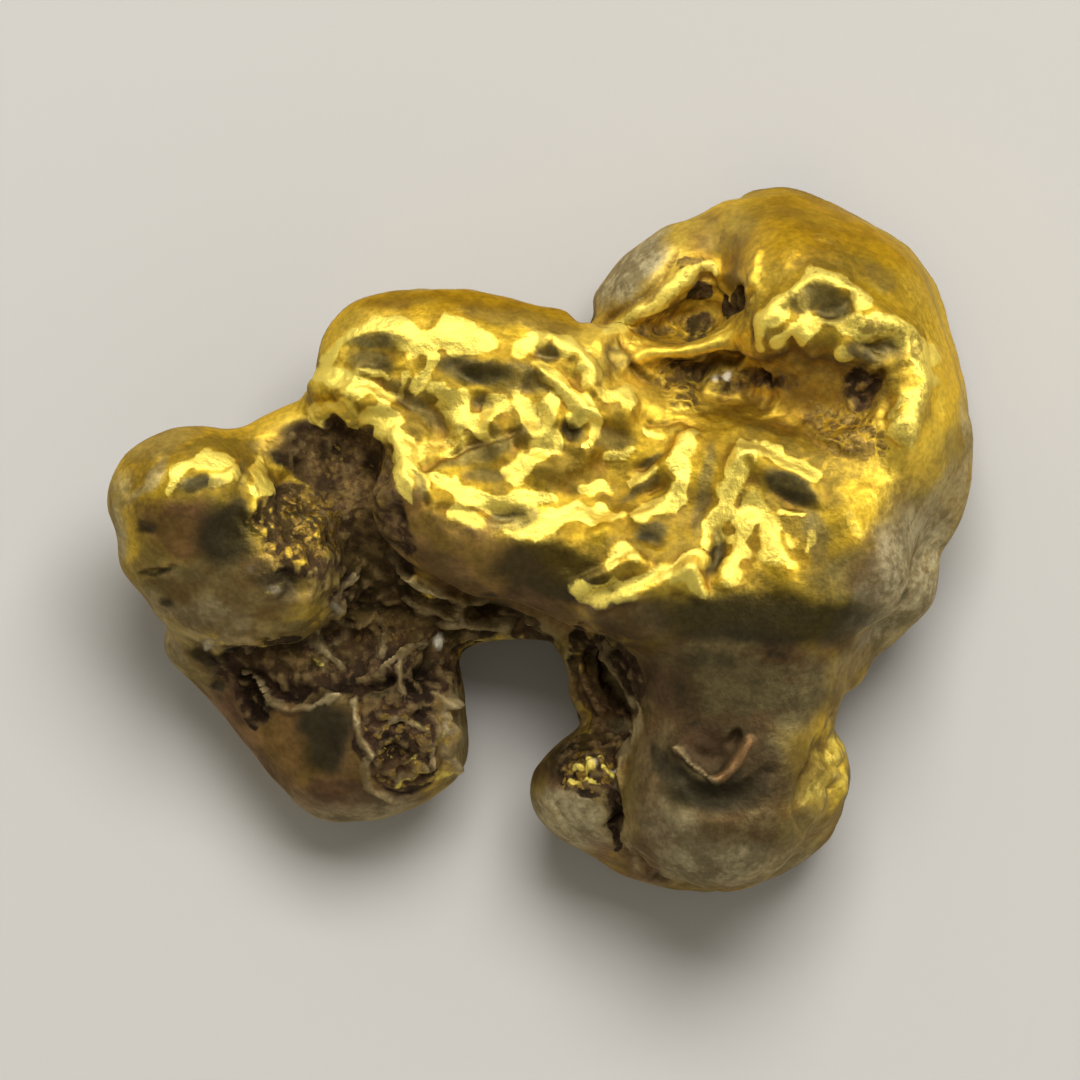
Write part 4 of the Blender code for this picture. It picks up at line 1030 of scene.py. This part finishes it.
height = m.math("ADD", height, m.math("MULTIPLY", curl.outputs["Fac"], m.math("MULTIPLY", a_dirt, 5.0)))
m.put(bump1.inputs["Height"], m.math("SUBTRACT", height, m.math("MULTIPLY", cells, bumpy)))
m.put(m.shader.inputs["Normal"], bump1.outputs[0])
mesh.materials.append(mat)

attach(nugget, "root")
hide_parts("gold_nugget")

# ---------------------------------------------------------------- floor, light, camera
bm = bmesh.new()
bmesh.ops.create_grid(bm, x_segments=1, y_segments=1, size=1.5)
fm = bpy.data.meshes.new("floor")
bm.to_mesh(fm)
bm.free()
floor = bpy.data.objects.new("floor", fm)
bpy.context.scene.collection.objects.link(floor)
floor.location.z = -0.00002
fmat = bpy.data.materials.new("floor_paper")
fmat.use_nodes = True
fb = fmat.node_tree.nodes["Principled BSDF"]
fb.inputs["Base Color"].default_value = (0.62, 0.61, 0.59, 1)
fb.inputs["Roughness"].default_value = 0.9
fm.materials.append(fmat)


def area(name, at, to, size, power, color=(1, 1, 1)):
    light = bpy.data.lights.new(name, "AREA")
    light.shape = "RECTANGLE"
    light.size, light.size_y = size
    light.energy = power
    light.color = color
    obj = bpy.data.objects.new(name, light)
    obj.location = at
    obj.rotation_euler = (Vector(to) - Vector(at)).to_track_quat("-Z", "Y").to_euler()
    obj.visible_camera = False
    bpy.context.scene.collection.objects.link(obj)
    return obj


def polar(distance, elevation, azimuth):
    """Azimuth 0 is +Y, 90 is +X."""
    e, a = math.radians(elevation), math.radians(azimuth)
    return (distance * math.cos(e) * math.sin(a), distance * math.cos(e) * math.cos(a), distance * math.sin(e))


def radiance(size, value):
    """The power that makes an area light of this size as bright as value."""
    return math.pi * size[0] * size[1] * value


# the key lights the floor and throws the shadow; the soft card in the same place is what the gold mirrors
key = area("key", polar(0.40, 62, 14), (0, 0, 0.004), (0.22, 0.18), 1.5, (1.0, 0.98, 0.95))
key.visible_glossy = False
card = area("card", polar(0.34, 37, 22), (0, 0, 0.004), (0.80, 0.20), radiance((0.80, 0.20), 3.9), (1.0, 0.985, 0.95))
card.visible_diffuse = False
side = area("side", polar(0.34, 33, 92), (0, 0, 0.004), (0.34, 0.16), radiance((0.34, 0.16), 1.5), (1.0, 0.985, 0.95))
side.visible_diffuse = False
left = area("left", polar(0.34, 34, -52), (0, 0, 0.004), (0.30, 0.16), radiance((0.30, 0.16), 1.2), (1.0, 0.985, 0.95))
left.visible_diffuse = False
low = area("low", polar(0.36, 26, 185), (0, 0, 0.004), (0.34, 0.12), radiance((0.34, 0.12), 0.30), (1.0, 0.97, 0.93))

world = bpy.data.worlds.new("studio")
world.use_nodes = True
wt = world.node_tree
bg = wt.nodes["Background"]
coord = wt.nodes.new("ShaderNodeTexCoord")
sep = wt.nodes.new("ShaderNodeSeparateXYZ")
ramp = wt.nodes.new("ShaderNodeValToRGB")
wt.links.new(coord.outputs["Generated"], sep.inputs[0])
wt.links.new(sep.outputs["Z"], ramp.inputs[0])
wt.links.new(ramp.outputs[0], bg.inputs[0])
ramp.color_ramp.elements[0].position = 0.0
ramp.color_ramp.elements[0].color = (0.30, 0.30, 0.29, 1)
ramp.color_ramp.elements[1].position = 0.9
ramp.color_ramp.elements[1].color = (0.26, 0.243, 0.20, 1)
bg.inputs[1].default_value = 1.0
bpy.context.scene.world = world

cam = bpy.data.cameras.new("camera")
cam.sensor_width = 36
cam_obj = bpy.data.objects.new("camera", cam)
bpy.context.scene.collection.objects.link(cam_obj)
HIGH = 0.9
cam_obj.location = (0, 0, HIGH)
cam_obj.rotation_euler = (0, 0, 0)
cam.lens = 36 * (HIGH - 0.005) / (1080 * UNIT)
cam.clip_start = 0.01
cam.clip_end = 20
bpy.context.scene.camera = cam_obj
bpy.context.scene.view_settings.view_transform = "Standard"
